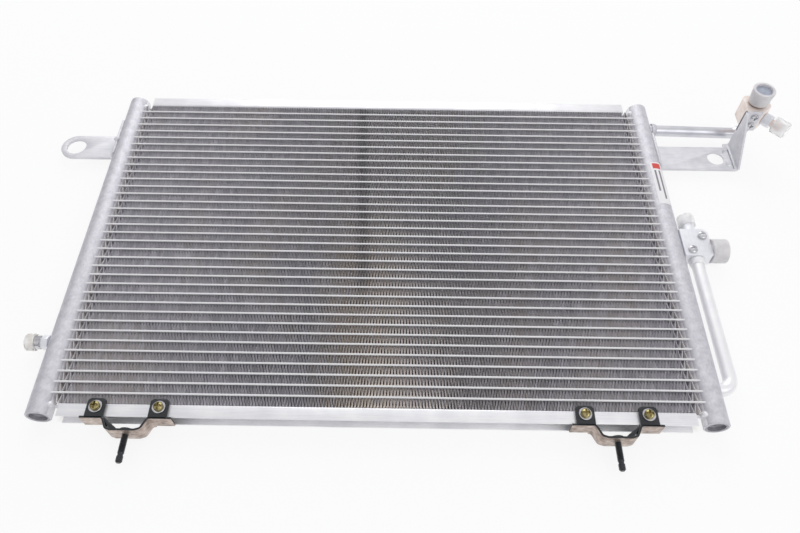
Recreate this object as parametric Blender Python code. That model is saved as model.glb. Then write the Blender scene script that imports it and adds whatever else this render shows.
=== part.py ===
"""Finned condenser coil of an air-conditioning circuit, lying on its back.

Flat tubes and corrugated fin strips are brazed between two round headers. X runs along the
tubes, Y along the headers and Z out of the front face. Sizes are metres. The pieces are
modelled about the middle of the core, and the whole model is then moved so that its origin
is the middle of its bounding box, on the plane that it rests on.
"""
import math

import bmesh
import bpy
from mathutils import Matrix, Vector

# Gap between two pieces that meet
FIT_GAP = 0.0003

# Core of flat tubes and corrugated fins
TUBE_COUNT = 35
TUBE_PITCH = 0.0102
TUBE_THICKNESS = 0.0020
TUBE_DEPTH = 0.0160
TUBE_NOSE = 0.0010
TUBE_END_TO_HEADER_AXIS = 0.0030
FIN_SHEET = 0.0006
FIN_RECESS = 0.0003
FIN_WALLS = 17
FIN_END_MARGIN = 0.0065
FIN_FOOT = 0.0040
FIN_BRAZE_OVERLAP = 0.0002
FINS_PER_COURSE = 3

# Headers, their end cups and their inner baffles
HEADER_SPACING = 0.5750
HEADER_DIAMETER = 0.0220
HEADER_WALL = 0.0018
HEADER_OVERHANG = 0.0200
HEADER_SIDE_FACETS = 2
HEADER_BACK_FACETS = 4
CUP_WALL = 0.0014
CUP_FLOOR = 0.0016
CUP_LENGTH = 0.0065
BAFFLE_THICKNESS = 0.0020
TUBES_ABOVE_INLET_BAFFLE = 13
TUBES_ABOVE_LEFT_BAFFLE = 23
TUBES_ABOVE_OUTLET_BAFFLE = 30

# Side plates, folded channels that close the core above and below
SIDE_SHEET = 0.0012
SIDE_FLANGE = 0.0122
SIDE_END_TO_HEADER_AXIS = 0.0180
TONGUE_WIDTH = 0.0056
TONGUE_END_TO_HEADER_AXIS = 0.0050

# Left mounting ear
SADDLE_SHEET = 0.0020
EAR_SADDLE_LENGTH = 0.0500
SADDLE_PAST_PLATE = 0.0015
PLATE_LEVEL = -0.0030
EAR_FROM_TOP = 0.0678
EAR_SHEET = 0.0030
EAR_WIDTH = 0.0330
EAR_HOLE_DIAMETER = 0.0195
EAR_HOLE_FROM_HEADER = 0.0570

# Inlet pipe, fitting and ports at the upper right
INLET_FROM_TOP = 0.0314
INLET_DRIFT = 0.0028
PIPE_DIAMETER = 0.0122
PIPE_WALL = 0.0012
PIPE_BEND = 0.0125
PIPE_PAST_WALL = 0.0020
BEAD_DIAMETER = 0.0156
BEAD_LENGTH = 0.0050
FITTING_FROM_HEADER = 0.1132
FITTING_WIDTH = 0.0270
FITTING_DEPTH = 0.0265
FITTING_FACE_TO_PORT = 0.0147
FITTING_CORNER = 0.0050
FITTING_FACET = 0.0095
FITTING_FOOT_INSET = 0.0035
FITTING_BOTTOM = 0.0190
FITTING_TOP = 0.0450
FITTING_SOCKET = 0.0060
PORT_THREAD_DIAMETER = 0.0165
PORT_BORE_DIAMETER = 0.0090
PORT_THREAD_LENGTH = 0.0120
INLET_CAP_TOP_DIAMETER = 0.0240
INLET_CAP_MOUTH_DIAMETER = 0.0205
INLET_CAP_LENGTH = 0.0185
CAP_RECESS = 0.0030
CAP_RIM = 0.0030
CAP_END = 0.0020

# Service valve on the inlet fitting
VALVE_LEVEL = 0.0325
VALVE_SPIGOT_LENGTH = 0.0030
VALVE_BODY_DIAMETER = 0.0140
VALVE_BODY_LENGTH = 0.0095
VALVE_THREAD_DIAMETER = 0.0085
VALVE_THREAD_LENGTH = 0.0125
VALVE_CAP_DIAMETER = 0.0172
VALVE_CAP_FROM_BODY = 0.0030
VALVE_CAP_LENGTH = 0.0150

# Inlet bracket, a folded plate from the right header to the fitting
BRACKET_FROM_TOP = 0.0718
BRACKET_SHEET = 0.0022
BRACKET_WIDTH = 0.0340
BRACKET_HOLE_DIAMETER = 0.0180
BRACKET_HOLE_FROM_HEADER = 0.0762
BRACKET_BEND = 0.0030
BRACKET_SADDLE_TO_BEAD = 0.0050
RISER_FROM_HEADER = 0.0966
RISER_HEAD_WIDTH = 0.0050
RISER_SHOULDER_WIDTH = 0.0150
RISER_SHOULDER_LEVEL = 0.0360
STRAP_WIDTH = 0.0185
STRAP_BOTTOM = 0.0210
STRAP_TOP = 0.0470
STRAP_SCREW_FROM_RISER = 0.0105
STRAP_SCREW_LOW = 0.0290
STRAP_SCREW_HIGH = 0.0405
STRAP_SCREW_DIAMETER = 0.0040
STRAP_SCREW_HEAD_DIAMETER = 0.0078
STRAP_SCREW_HEAD_HEIGHT = 0.0022
STRAP_SCREW_LENGTH = 0.0080

# Outlet block and pipe beside the right header
OUTLET_FROM_BOTTOM = 0.0350
OUTLET_PIPE_FROM_HEADER = 0.0225
OUTLET_BEND = 0.0112
OUTLET_SOCKET = 0.0030
BLOCK_FROM_BOTTOM = 0.1908
BLOCK_LENGTH = 0.0325
BLOCK_FROM_HEADER = 0.0095
BLOCK_WIDTH = 0.0275
BLOCK_TOP = 0.0085
BLOCK_BOTTOM = -0.0070
BLOCK_CHAMFER = 0.0020
BLOCK_PORT_LEVEL = 0.0012
BLOCK_PORT_FROM_FRONT = 0.0105
BLOCK_PORT_LENGTH = 0.0105
OUTLET_CAP_DIAMETER = 0.0242
OUTLET_CAP_LENGTH = 0.0155
OUTLET_CAP_START = 0.0005
COLLAR_DIAMETER = 0.0152
COLLAR_LENGTH = 0.0065
SENSOR_NECK_DIAMETER = 0.0125
SENSOR_NECK_LENGTH = 0.0090
SENSOR_THREAD_DIAMETER = 0.0100
SENSOR_THREAD_LENGTH = 0.0065
SENSOR_CAP_DIAMETER = 0.0165
SENSOR_CAP_LENGTH = 0.0120
SENSOR_SPIGOT_LENGTH = 0.0030
BLOCK_SCREW_DIAMETER = 0.0040
BLOCK_SCREW_HEAD_DIAMETER = 0.0090
BLOCK_SCREW_HEAD_HEIGHT = 0.0028
BLOCK_SCREW_INSET = 0.0065
BLOCK_FRONT_SCREW_FROM_END = 0.0195
BLOCK_PIN_DIAMETER = 0.0040
BLOCK_PIN_LENGTH = 0.0050
BLOCK_PIN_INSET = 0.0042

# Pressure port on the left header
PRESSURE_FROM_BOTTOM = 0.0717
PRESSURE_SPIGOT_DIAMETER = 0.0080
PRESSURE_HEX = 0.0120
PRESSURE_HEX_LENGTH = 0.0060
PRESSURE_NECK_DIAMETER = 0.0110
PRESSURE_NECK_LENGTH = 0.0060
PRESSURE_THREAD_DIAMETER = 0.0085
PRESSURE_THREAD_LENGTH = 0.0025
PRESSURE_CAP_DIAMETER = 0.0155
PRESSURE_CAP_LENGTH = 0.0080

# Foot brackets with their screws, washers and studs
LEFT_FOOT_FROM_END = 0.0595
RIGHT_FOOT_FROM_END = 0.0680
FOOT_SHEET = 0.0020
FOOT_LENGTH = 0.0770
FOOT_DEPTH = 0.0166
FOOT_HAT_TOP_WIDTH = 0.0380
FOOT_HAT_FLAT_WIDTH = 0.0200
FOOT_HAT_DROP = 0.0105
FOOT_HAT_SHOULDER_DROP = 0.0090
TAB_SPACING = 0.0533
TAB_WIDTH = 0.0186
TAB_REACH = 0.0180
TAB_CORNER = 0.0050
SCREW_FROM_TAB_END = 0.0078
SCREW_DIAMETER = 0.0042
SCREW_HEAD_DIAMETER = 0.0092
SCREW_HEAD_HEIGHT = 0.0030
SCREW_LENGTH = 0.0110
WASHER_DIAMETER = 0.0125
WASHER_THICKNESS = 0.0010
STUD_DIAMETER = 0.0056
STUD_LENGTH = 0.0262
STUD_HEAD_DIAMETER = 0.0120
STUD_HEAD_HEIGHT = 0.0024
STUD_GROOVE = 0.0005
STUD_GROOVE_FROM_TIP = 0.0070
STUD_TIP = 0.0012

# Pan heads, as shares of their height and radius
HEAD_RIM_SHARE = 0.55
HEAD_CROWN_SHARE = 0.72

# Sticker on the right header
LABEL_FROM_TOP = 0.1200
LABEL_LENGTH = 0.0580
LABEL_THICKNESS = 0.0003

# Round detail
PIPE_SEGMENTS = 12
CAP_SEGMENTS = 14
SCREW_SEGMENTS = 8
BEND_STEPS = 4
SMOOTH_ANGLE = math.radians(35.0)
CUTTER_REACH = 0.0010

# Values that follow from the sizes above
CORE_HALF = (TUBE_COUNT - 1) * TUBE_PITCH / 2.0
HEADER_RADIUS = HEADER_DIAMETER / 2.0
BORE_RADIUS = HEADER_RADIUS - HEADER_WALL
HEADER_X = HEADER_SPACING / 2.0
HEADER_HALF = CORE_HALF + HEADER_OVERHANG
HEADER_TOP = HEADER_HALF
HEADER_BOTTOM = -HEADER_HALF
SLOT_HALF_DEPTH = TUBE_DEPTH / 2.0 + FIT_GAP
SLOT_HALF_HEIGHT = TUBE_THICKNESS / 2.0 + FIT_GAP
FIN_SPACE = TUBE_PITCH - TUBE_THICKNESS
WEB_INNER = CORE_HALF + TUBE_THICKNESS / 2.0 + FIN_SPACE + FIT_GAP
SIDE_HALF_LENGTH = HEADER_X - SIDE_END_TO_HEADER_AXIS
PIPE_RADIUS = PIPE_DIAMETER / 2.0

X_AXIS = Vector((1.0, 0.0, 0.0))
Y_AXIS = Vector((0.0, 1.0, 0.0))
Z_AXIS = Vector((0.0, 0.0, 1.0))


class Shop:
    """Holds the parent empty, the materials and the list of finished pieces."""

    def __init__(self):
        self.root = bpy.data.objects.new("condenser", None)
        bpy.context.collection.objects.link(self.root)
        self.pieces = []
        self.materials = {
            "fin": principled("fin_aluminium", (0.30, 0.29, 0.30), 0.45, 0.9),
            "aluminium": principled("brazed_aluminium", (0.62, 0.62, 0.65), 0.42, 0.9),
            "plate": principled("plate_aluminium", (0.72, 0.72, 0.74), 0.38, 0.9),
            "black": principled("black_coated_steel", (0.02, 0.018, 0.016), 0.25, 0.2),
            "zinc": principled("yellow_zinc_steel", (0.62, 0.50, 0.24), 0.30, 0.9),
            "steel": principled("bright_steel", (0.60, 0.60, 0.60), 0.30, 1.0),
            "plastic": principled("cap_plastic", (0.80, 0.81, 0.80), 0.45, 0.0),
            "paper": principled("label_paper", (0.85, 0.85, 0.85), 0.60, 0.0),
        }

    def add(self, name, mesh, material, placing=Matrix(), smooth=True):
        """Add one piece of the condenser, placed by its location and rotation."""
        piece = self.place(name, mesh, placing, smooth)
        piece.data.materials.append(self.materials[material])
        self.pieces.append(piece)
        return piece

    def place(self, name, mesh, placing, smooth):
        """Turn a bmesh into an object under the parent empty."""
        bmesh.ops.recalc_face_normals(mesh, faces=mesh.faces)
        data = bpy.data.meshes.new(name)
        mesh.to_mesh(data)
        mesh.free()
        if smooth:
            data.shade_smooth()
            data.set_sharp_from_angle(angle=SMOOTH_ANGLE)
        item = bpy.data.objects.new(name, data)
        bpy.context.collection.objects.link(item)
        item.parent = self.root
        item.location = placing.to_translation()
        item.rotation_euler = placing.to_euler()
        return item

    def shape(self, target, mesh, operation, placing=Matrix()):
        """Join a helper solid to a piece, or cut it away, and keep the helper as a guide."""
        number = len(target.modifiers) + 1
        guide = self.place(f"{target.name}_guide_{number}", mesh, placing, False)
        guide.hide_render = True
        guide.display_type = "WIRE"
        modifier = target.modifiers.new(f"{operation.lower()}_{number}", "BOOLEAN")
        modifier.operation = operation
        modifier.solver = "EXACT"
        modifier.object = guide

    def cut(self, target, mesh, placing=Matrix()):
        """Cut a helper solid away from a piece."""
        self.shape(target, mesh, "DIFFERENCE", placing)

    def join(self, target, mesh, placing=Matrix()):
        """Join a helper solid to a piece."""
        self.shape(target, mesh, "UNION", placing)


def principled(name, colour, roughness, metallic):
    """A Principled material with the part's colour and finish."""
    material = bpy.data.materials.new(name)
    material.use_nodes = True
    shader = material.node_tree.nodes["Principled BSDF"]
    shader.inputs["Base Color"].default_value = (*colour, 1.0)
    shader.inputs["Roughness"].default_value = roughness
    shader.inputs["Metallic"].default_value = metallic
    return material


# Shapes

def place_at(x, y, z):
    """Placing without a turn."""
    return Matrix.Translation((x, y, z))


def along(direction, start):
    """Placing that lays a turned piece's Z axis along a direction, from a start point."""
    turn = Z_AXIS.rotation_difference(Vector(direction).normalized())
    return Matrix.Translation(start) @ turn.to_matrix().to_4x4()


def to_space(plane, u, v, w):
    """Point of a drawing plane at a height over it."""
    return {"XY": (u, v, w), "YZ": (w, u, v), "XZ": (u, w, v)}[plane]


def prism(outline, low, high, plane="XY"):
    """Solid between two heights over a closed flat outline."""
    mesh = bmesh.new()
    bottom = [mesh.verts.new(to_space(plane, u, v, low)) for u, v in outline]
    top = [mesh.verts.new(to_space(plane, u, v, high)) for u, v in outline]
    mesh.faces.new(bottom)
    mesh.faces.new(top)
    for i in range(len(outline)):
        j = (i + 1) % len(outline)
        mesh.faces.new((bottom[i], bottom[j], top[j], top[i]))
    return mesh


def sheet_edges(points, thickness):
    """Both edges of a bent sheet that follows a centre line, with mitred bends."""
    line = [Vector(point) for point in points]
    headings = [(b - a).normalized() for a, b in zip(line, line[1:])]
    edges = []
    for i, point in enumerate(line):
        before = headings[max(i - 1, 0)]
        after = headings[min(i, len(headings) - 1)]
        normal = Vector((-before.y - after.y, before.x + after.x)).normalized()
        reach = thickness / 2.0 / normal.dot(Vector((-after.y, after.x)))
        edges.append((point + normal * reach, point - normal * reach))
    return edges


def bent_sheet(points, thickness, low, high, plane="XY"):
    """Sheet of even thickness bent along a centre line, between two heights."""
    mesh = bmesh.new()
    stations = []
    for left, right in sheet_edges(points, thickness):
        corners = ((left, low), (right, low), (right, high), (left, high))
        stations.append([mesh.verts.new(to_space(plane, p.x, p.y, w)) for p, w in corners])
    for near, far in zip(stations, stations[1:]):
        for i in range(4):
            j = (i + 1) % 4
            mesh.faces.new((near[i], near[j], far[j], far[i]))
    mesh.faces.new(stations[0])
    mesh.faces.new(stations[-1])
    return mesh


def turned(profile, segments):
    """Solid turned about Z from a closed outline of radius and height."""
    mesh = bmesh.new()
    rings = []
    for radius, height in profile:
        if radius == 0.0:
            rings.append([mesh.verts.new((0.0, 0.0, height))] * segments)
            continue
        ring = []
        for i in range(segments):
            angle = math.tau * (i + 0.5) / segments
            ring.append(mesh.verts.new((radius * math.cos(angle), radius * math.sin(angle), height)))
        rings.append(ring)
    for near, far in zip(rings, rings[1:] + rings[:1]):
        for i in range(segments):
            j = (i + 1) % segments
            corners = list(dict.fromkeys((near[i], near[j], far[j], far[i])))
            if len(corners) > 2:
                mesh.faces.new(corners)
    return mesh


def rod(radius, low, high, segments=PIPE_SEGMENTS):
    """Solid rod about Z."""
    return turned(((0.0, low), (radius, low), (radius, high), (0.0, high)), segments)


def ring(outer, inner, low, high, segments=PIPE_SEGMENTS):
    """Plain ring about Z."""
    return turned(((inner, low), (outer, low), (outer, high), (inner, high)), segments)


def rounded_path(corners, radius):
    """Centre line through corner points, with an arc of one radius at each inner corner."""
    points = [Vector(corners[0])]
    for before, corner, after in zip(corners, corners[1:], corners[2:]):
        corner = Vector(corner)
        back = (Vector(before) - corner).normalized()
        ahead = (Vector(after) - corner).normalized()
        half = back.angle(ahead) / 2.0
        centre = corner + (back + ahead).normalized() * radius / math.sin(half)
        start = corner + back * radius / math.tan(half) - centre
        axis = back.cross(start).normalized()
        sweep = math.pi - 2.0 * half
        for step in range(BEND_STEPS + 1):
            turn = Matrix.Rotation(sweep * step / BEND_STEPS, 3, axis)
            points.append(centre + turn @ start)
    points.append(Vector(corners[-1]))
    return points


def pipe_mesh(points, outer, inner):
    """Open pipe along a centre line that stays in one plane."""
    mesh = bmesh.new()
    headings = [(b - a).normalized() for a, b in zip(points, points[1:])]
    side = next((a.cross(b) for a, b in zip(headings, headings[1:]) if a.cross(b).length > 1e-6), Z_AXIS)
    side = side.normalized()
    stations = []
    for i, point in enumerate(points):
        heading = (headings[max(i - 1, 0)] + headings[min(i, len(headings) - 1)]).normalized()
        across = heading.cross(side)
        stretch = 1.0 / heading.dot(headings[min(i, len(headings) - 1)])
        rings = []
        for radius in (outer, inner):
            circle = []
            for k in range(PIPE_SEGMENTS):
                angle = math.tau * (k + 0.5) / PIPE_SEGMENTS
                offset = side * math.cos(angle) + across * math.sin(angle) * stretch
                circle.append(mesh.verts.new(point + offset * radius))
            rings.append(circle)
        stations.append(rings)
    for near, far in zip(stations, stations[1:]):
        for layer in range(2):
            for k in range(PIPE_SEGMENTS):
                n = (k + 1) % PIPE_SEGMENTS
                mesh.faces.new((near[layer][k], near[layer][n], far[layer][n], far[layer][k]))
    for outside, inside in (stations[0], stations[-1]):
        for k in range(PIPE_SEGMENTS):
            n = (k + 1) % PIPE_SEGMENTS
            mesh.faces.new((outside[k], outside[n], inside[n], inside[k]))
    return mesh


def arc_points(centre, radius, start, end, steps):
    """Points of an arc in a drawing plane."""
    points = []
    for step in range(steps + 1):
        angle = start + (end - start) * step / steps
        points.append((centre[0] + radius * math.cos(angle), centre[1] + radius * math.sin(angle)))
    return points


# Core

def tube_y(index):
    """Centre line of a tube, counted from the top."""
    return CORE_HALF - index * TUBE_PITCH


def tube_outline():
    """Section of a flat tube across its length, with both noses chamfered."""
    half = TUBE_THICKNESS / 2.0
    edge = TUBE_DEPTH / 2.0
    flat = edge - TUBE_NOSE
    return [(half, -flat), (half, flat), (0.0, edge), (-half, flat), (-half, -flat), (0.0, -edge)]


def flat_tubes(indices):
    """The flat tubes of a course, as separate bars in one mesh."""
    reach = HEADER_X - TUBE_END_TO_HEADER_AXIS
    mesh = bmesh.new()
    for index in indices:
        outline = [(tube_y(index) + y, z) for y, z in tube_outline()]
        add_mesh(mesh, prism(outline, -reach, reach, "YZ"))
    return mesh


def add_mesh(mesh, other):
    """Copy one bmesh into another."""
    copies = {vert: mesh.verts.new(vert.co) for vert in other.verts}
    for face in other.faces:
        mesh.faces.new([copies[vert] for vert in face.verts])
    other.free()


def fin_line(index, brazed_above, brazed_below):
    """Centre line of a corrugated fin strip, which starts at the tube above and ends below."""
    above = tube_y(index - 1) - TUBE_THICKNESS / 2.0
    below = above - FIN_SPACE
    half = (HEADER_X - HEADER_RADIUS - FIN_END_MARGIN)
    run = (2.0 * half - 2.0 * FIN_FOOT) / FIN_WALLS
    slope = math.atan2(FIN_SPACE, run)
    crest = FIT_GAP + FIN_SHEET / 2.0 / math.cos(slope)
    foot = FIT_GAP + FIN_SHEET / 2.0
    seat = FIN_SHEET / 2.0 - FIN_BRAZE_OVERLAP
    top_foot = above - (seat if brazed_above else foot)
    low_foot = below + (seat if brazed_below else foot)
    points = [(-half, top_foot), (-half + FIN_FOOT, top_foot)]
    for wall in range(1, FIN_WALLS):
        level = below + crest if wall % 2 else above - crest
        points.append((-half + FIN_FOOT + wall * run, level))
    points += [(half - FIN_FOOT, low_foot), (half, low_foot)]
    return points


def build_core(shop):
    """Courses of fins and tubes, brazed to each other at the ends of every fin strip."""
    fin_half_depth = TUBE_DEPTH / 2.0 - FIN_RECESS
    fin_count = TUBE_COUNT + 1
    for course, first in enumerate(range(0, fin_count, FINS_PER_COURSE), start=1):
        fins = range(first, min(first + FINS_PER_COURSE, fin_count))
        tubes = [index for index in fins if index < TUBE_COUNT]
        if not tubes:
            tubes = [TUBE_COUNT - 1]
        piece = shop.add(f"core_course_{course:02d}", flat_tubes(tubes), "fin", smooth=False)
        strips = bmesh.new()
        for index in fins:
            line = fin_line(index, index - 1 in tubes, index in tubes)
            add_mesh(strips, bent_sheet(line, FIN_SHEET, -fin_half_depth, fin_half_depth))
        shop.join(piece, strips)


# Headers

def column_depths():
    """Heights of the four lines that bound the facets of the slotted side."""
    step = math.asin(SLOT_HALF_DEPTH / HEADER_RADIUS) / 3.0
    middle = HEADER_RADIUS * math.sin(step)
    return (-SLOT_HALF_DEPTH, -middle, middle, SLOT_HALF_DEPTH)


def header_columns(radius):
    """Points round the section: the slotted side faces +X, then the back, counter-clockwise."""
    points = [(math.sqrt(radius * radius - z * z), z) for z in column_depths()]
    first = math.asin(SLOT_HALF_DEPTH / radius)
    quarter = math.pi / 2.0
    angles = [first + (quarter - first) * i / HEADER_SIDE_FACETS for i in range(1, HEADER_SIDE_FACETS)]
    angles += [quarter + quarter * i / HEADER_BACK_FACETS for i in range(HEADER_BACK_FACETS)]
    points += [(radius * math.cos(angle), radius * math.sin(angle)) for angle in angles]
    points.append((-radius, 0.0))
    points += [(radius * math.cos(angle), -radius * math.sin(angle)) for angle in reversed(angles)]
    return points


def slot_rows():
    """Slots along the header, as low edge, high edge and the facets that they open."""
    rows = [(tube_y(i) - SLOT_HALF_HEIGHT, tube_y(i) + SLOT_HALF_HEIGHT, (0, 1, 2)) for i in range(TUBE_COUNT)]
    for side in (-1.0, 1.0):
        middle = side * (WEB_INNER + SIDE_SHEET / 2.0)
        reach = SIDE_SHEET / 2.0 + FIT_GAP
        rows.append((middle - reach, middle + reach, (1,)))
    return sorted(rows)


def header_mesh():
    """Round header with a slot for every tube and for both side plates, slots towards +X."""
    mesh = bmesh.new()
    rings = [header_columns(HEADER_RADIUS), header_columns(BORE_RADIUS)]
    count = len(rings[0])
    levels = [HEADER_BOTTOM]
    for low, high, _ in slot_rows():
        levels += [low, high]
    levels.append(HEADER_TOP)
    opened = {}
    for number, (_, _, facets) in enumerate(slot_rows()):
        opened[2 * number + 1] = facets
    corners = {}

    def corner(layer, column, level):
        key = (layer, column % count, level)
        if key not in corners:
            x, z = rings[layer][column % count]
            corners[key] = mesh.verts.new((x, levels[level], z))
        return corners[key]

    last = len(levels) - 1
    used = {column: {0, last} for column in range(count)}
    for band, facets in opened.items():
        for column in range(4):
            used[column] |= {band, band + 1}
    for facet in range(3):
        for band in range(last):
            if facet in opened.get(band, ()):
                continue
            for layer in (0, 1):
                quad = [corner(layer, facet, band), corner(layer, facet + 1, band),
                        corner(layer, facet + 1, band + 1), corner(layer, facet, band + 1)]
                mesh.faces.new(quad)
    for facet in range(3, count):
        for layer in (0, 1):
            upward = sorted(used[facet])
            downward = sorted(used[(facet + 1) % count], reverse=True)
            loop = [corner(layer, facet, level) for level in upward]
            loop += [corner(layer, facet + 1, level) for level in downward]
            mesh.faces.new(loop)
    for band, facets in opened.items():
        for facet in facets:
            for level in (band, band + 1):
                mesh.faces.new((corner(0, facet, level), corner(0, facet + 1, level),
                                corner(1, facet + 1, level), corner(1, facet, level)))
        for column in (min(facets), max(facets) + 1):
            mesh.faces.new((corner(0, column, band), corner(0, column, band + 1),
                            corner(1, column, band + 1), corner(1, column, band)))
    for level in (0, last):
        for column in range(count):
            mesh.faces.new((corner(0, column, level), corner(0, column + 1, level),
                            corner(1, column + 1, level), corner(1, column, level)))
    return mesh


def cup_mesh():
    """Cup that closes a header end, floor inwards, with its mouth at height zero."""
    mesh = bmesh.new()
    layers = []
    outer = header_columns(BORE_RADIUS - FIT_GAP)
    shrink = 1.0 - CUP_WALL / (BORE_RADIUS - FIT_GAP)
    inner = [(x * shrink, z * shrink) for x, z in outer]
    for outline, height in ((outer, -CUP_LENGTH), (outer, 0.0), (inner, 0.0), (inner, CUP_FLOOR - CUP_LENGTH)):
        layers.append([mesh.verts.new((x, height, z)) for x, z in outline])
    count = len(outer)
    for near, far in zip(layers, layers[1:]):
        for i in range(count):
            j = (i + 1) % count
            mesh.faces.new((near[i], near[j], far[j], far[i]))
    mesh.faces.new(layers[0])
    mesh.faces.new(layers[-1])
    return mesh


def header_placing(side, y=0.0, flipped=False):
    """Placing on the left or right header's axis, with the slots turned to the core."""
    placing = place_at(side * HEADER_X, y, 0.0)
    if side > 0.0:
        placing = placing @ Matrix.Rotation(math.pi, 4, "Y")
    if flipped:
        placing = placing @ Matrix.Rotation(math.pi, 4, "X")
    return placing


def build_headers(shop):
    """Both headers with their end cups, cross holes and inner baffles."""
    for side, name in ((-1.0, "left"), (1.0, "right")):
        header = shop.add(f"{name}_header", header_mesh(), "aluminium", header_placing(side))
        for y, radius in cross_holes(side):
            depth = HEADER_RADIUS + CUTTER_REACH
            hole = rod(radius + FIT_GAP, 0.0, depth)
            shop.cut(header, hole, along(X_AXIS * side, (side * HEADER_X, y, 0.0)))
        shop.add(f"{name}_header_upper_cup", cup_mesh(), "aluminium", header_placing(side, HEADER_TOP))
        lower = header_placing(side, HEADER_BOTTOM, flipped=True)
        shop.add(f"{name}_header_lower_cup", cup_mesh(), "aluminium", lower)
    baffles = (("right_header_inlet_baffle", 1.0, TUBES_ABOVE_INLET_BAFFLE),
               ("left_header_baffle", -1.0, TUBES_ABOVE_LEFT_BAFFLE),
               ("right_header_outlet_baffle", 1.0, TUBES_ABOVE_OUTLET_BAFFLE))
    for name, side, tubes_above in baffles:
        y = tube_y(tubes_above) + TUBE_PITCH / 2.0
        outline = header_columns(BORE_RADIUS - FIT_GAP)
        disc = prism(outline, -BAFFLE_THICKNESS / 2.0, BAFFLE_THICKNESS / 2.0, "XZ")
        shop.add(name, disc, "aluminium", header_placing(side, y))


def cross_holes(side):
    """Place along the header and radius of each hole through its outer wall."""
    if side < 0.0:
        return [(HEADER_BOTTOM + PRESSURE_FROM_BOTTOM, PRESSURE_SPIGOT_DIAMETER / 2.0)]
    entry = HEADER_TOP - INLET_FROM_TOP
    return [(entry, PIPE_RADIUS + FIT_GAP), (HEADER_BOTTOM + OUTLET_FROM_BOTTOM, PIPE_RADIUS)]


# Side plates and feet

def foot_centres():
    """Middle of each foot along the lower side plate."""
    return (("left", -SIDE_HALF_LENGTH + LEFT_FOOT_FROM_END), ("right", SIDE_HALF_LENGTH - RIGHT_FOOT_FROM_END))


def screw_level():
    """Distance of the foot screws from the middle of the core, along Y."""
    tab_end = WEB_INNER + SIDE_FLANGE + FIT_GAP + FOOT_SHEET - TAB_REACH
    return tab_end + SCREW_FROM_TAB_END


def side_plate_mesh():
    """Channel with its web towards the core at +Y, flanges outwards, and a tongue at each end."""
    face = TUBE_DEPTH / 2.0 - SIDE_SHEET / 2.0
    web = WEB_INNER + SIDE_SHEET / 2.0
    tip = WEB_INNER + SIDE_FLANGE
    tongue = TONGUE_WIDTH / 2.0
    line = [(tip, face), (web, face), (web, tongue), (web, -tongue), (web, -face), (tip, -face)]
    mesh = bent_sheet(line, SIDE_SHEET, -SIDE_HALF_LENGTH, SIDE_HALF_LENGTH, "YZ")
    reach = HEADER_X - TONGUE_END_TO_HEADER_AXIS - SIDE_HALF_LENGTH
    for face in list(mesh.faces):
        centre = face.calc_center_median()
        at_end = abs(abs(centre.x) - SIDE_HALF_LENGTH) < FIT_GAP and abs(centre.z) < FIT_GAP
        if at_end:
            grown = bmesh.ops.extrude_discrete_faces(mesh, faces=[face])["faces"][0]
            move = X_AXIS * math.copysign(reach, centre.x)
            bmesh.ops.translate(mesh, verts=list(grown.verts), vec=move)
    return mesh


def build_side_plates(shop):
    """Upper and lower side plates, the lower one drilled for the foot screws."""
    shop.add("upper_side_plate", side_plate_mesh(), "plate", smooth=False)
    turn = Matrix.Rotation(math.pi, 4, "Z")
    lower = shop.add("lower_side_plate", side_plate_mesh(), "plate", turn, smooth=False)
    for _, centre in foot_centres():
        for side in (-1.0, 1.0):
            hole = rod(SCREW_DIAMETER / 2.0 + FIT_GAP, 0.0, TUBE_DEPTH / 2.0 + CUTTER_REACH, SCREW_SEGMENTS)
            shop.cut(lower, hole, place_at(centre + side * TAB_SPACING / 2.0, -screw_level(), 0.0))


def foot_line(strip):
    """Centre line of a foot's strip: two lips and a hat that stands off outwards."""
    lip = FOOT_LENGTH / 2.0
    top = FOOT_HAT_TOP_WIDTH / 2.0
    flat = FOOT_HAT_FLAT_WIDTH / 2.0
    middle = (top + flat) / 2.0
    shoulder = (middle, strip - FOOT_HAT_SHOULDER_DROP)
    right = [(flat, strip - FOOT_HAT_DROP), shoulder, (top, strip), (lip, strip)]
    return [(-x, y) for x, y in reversed(right)] + right


def tab_outline(centre, outer, inner):
    """Tab that lies on the flange, with two rounded corners on its free end."""
    low = centre - TAB_WIDTH / 2.0
    high = centre + TAB_WIDTH / 2.0
    quarter = math.pi / 2.0
    points = [(low, outer), (high, outer)]
    points += arc_points((high - TAB_CORNER, inner - TAB_CORNER), TAB_CORNER, 0.0, quarter, 3)
    points += arc_points((low + TAB_CORNER, inner - TAB_CORNER), TAB_CORNER, quarter, 2.0 * quarter, 3)
    return points


def stud_mesh():
    """Stud with its head inside the hat and two grooves near its tip, pointing along +Z."""
    radius = STUD_DIAMETER / 2.0
    groove = radius - STUD_GROOVE
    head = STUD_HEAD_DIAMETER / 2.0
    tip = STUD_LENGTH
    start = tip - STUD_GROOVE_FROM_TIP
    profile = [(0.0, -STUD_HEAD_HEIGHT), (head, -STUD_HEAD_HEIGHT), (head, 0.0), (radius, 0.0), (radius, start),
               (groove, start + STUD_GROOVE), (groove, start + 2.0 * STUD_GROOVE),
               (radius, start + 3.0 * STUD_GROOVE), (radius, tip - STUD_TIP), (radius - STUD_TIP, tip), (0.0, tip)]
    return turned(profile, SCREW_SEGMENTS)


def screw_mesh(diameter, length, head_diameter, head_height):
    """Pan-head screw along Z, seated at height zero with its shank below."""
    shank = diameter / 2.0
    head = head_diameter / 2.0
    profile = [(0.0, -length), (shank, -length), (shank, 0.0), (head, 0.0), (head, head_height * HEAD_RIM_SHARE),
               (head * HEAD_CROWN_SHARE, head_height), (0.0, head_height)]
    return turned(profile, SCREW_SEGMENTS)


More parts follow.
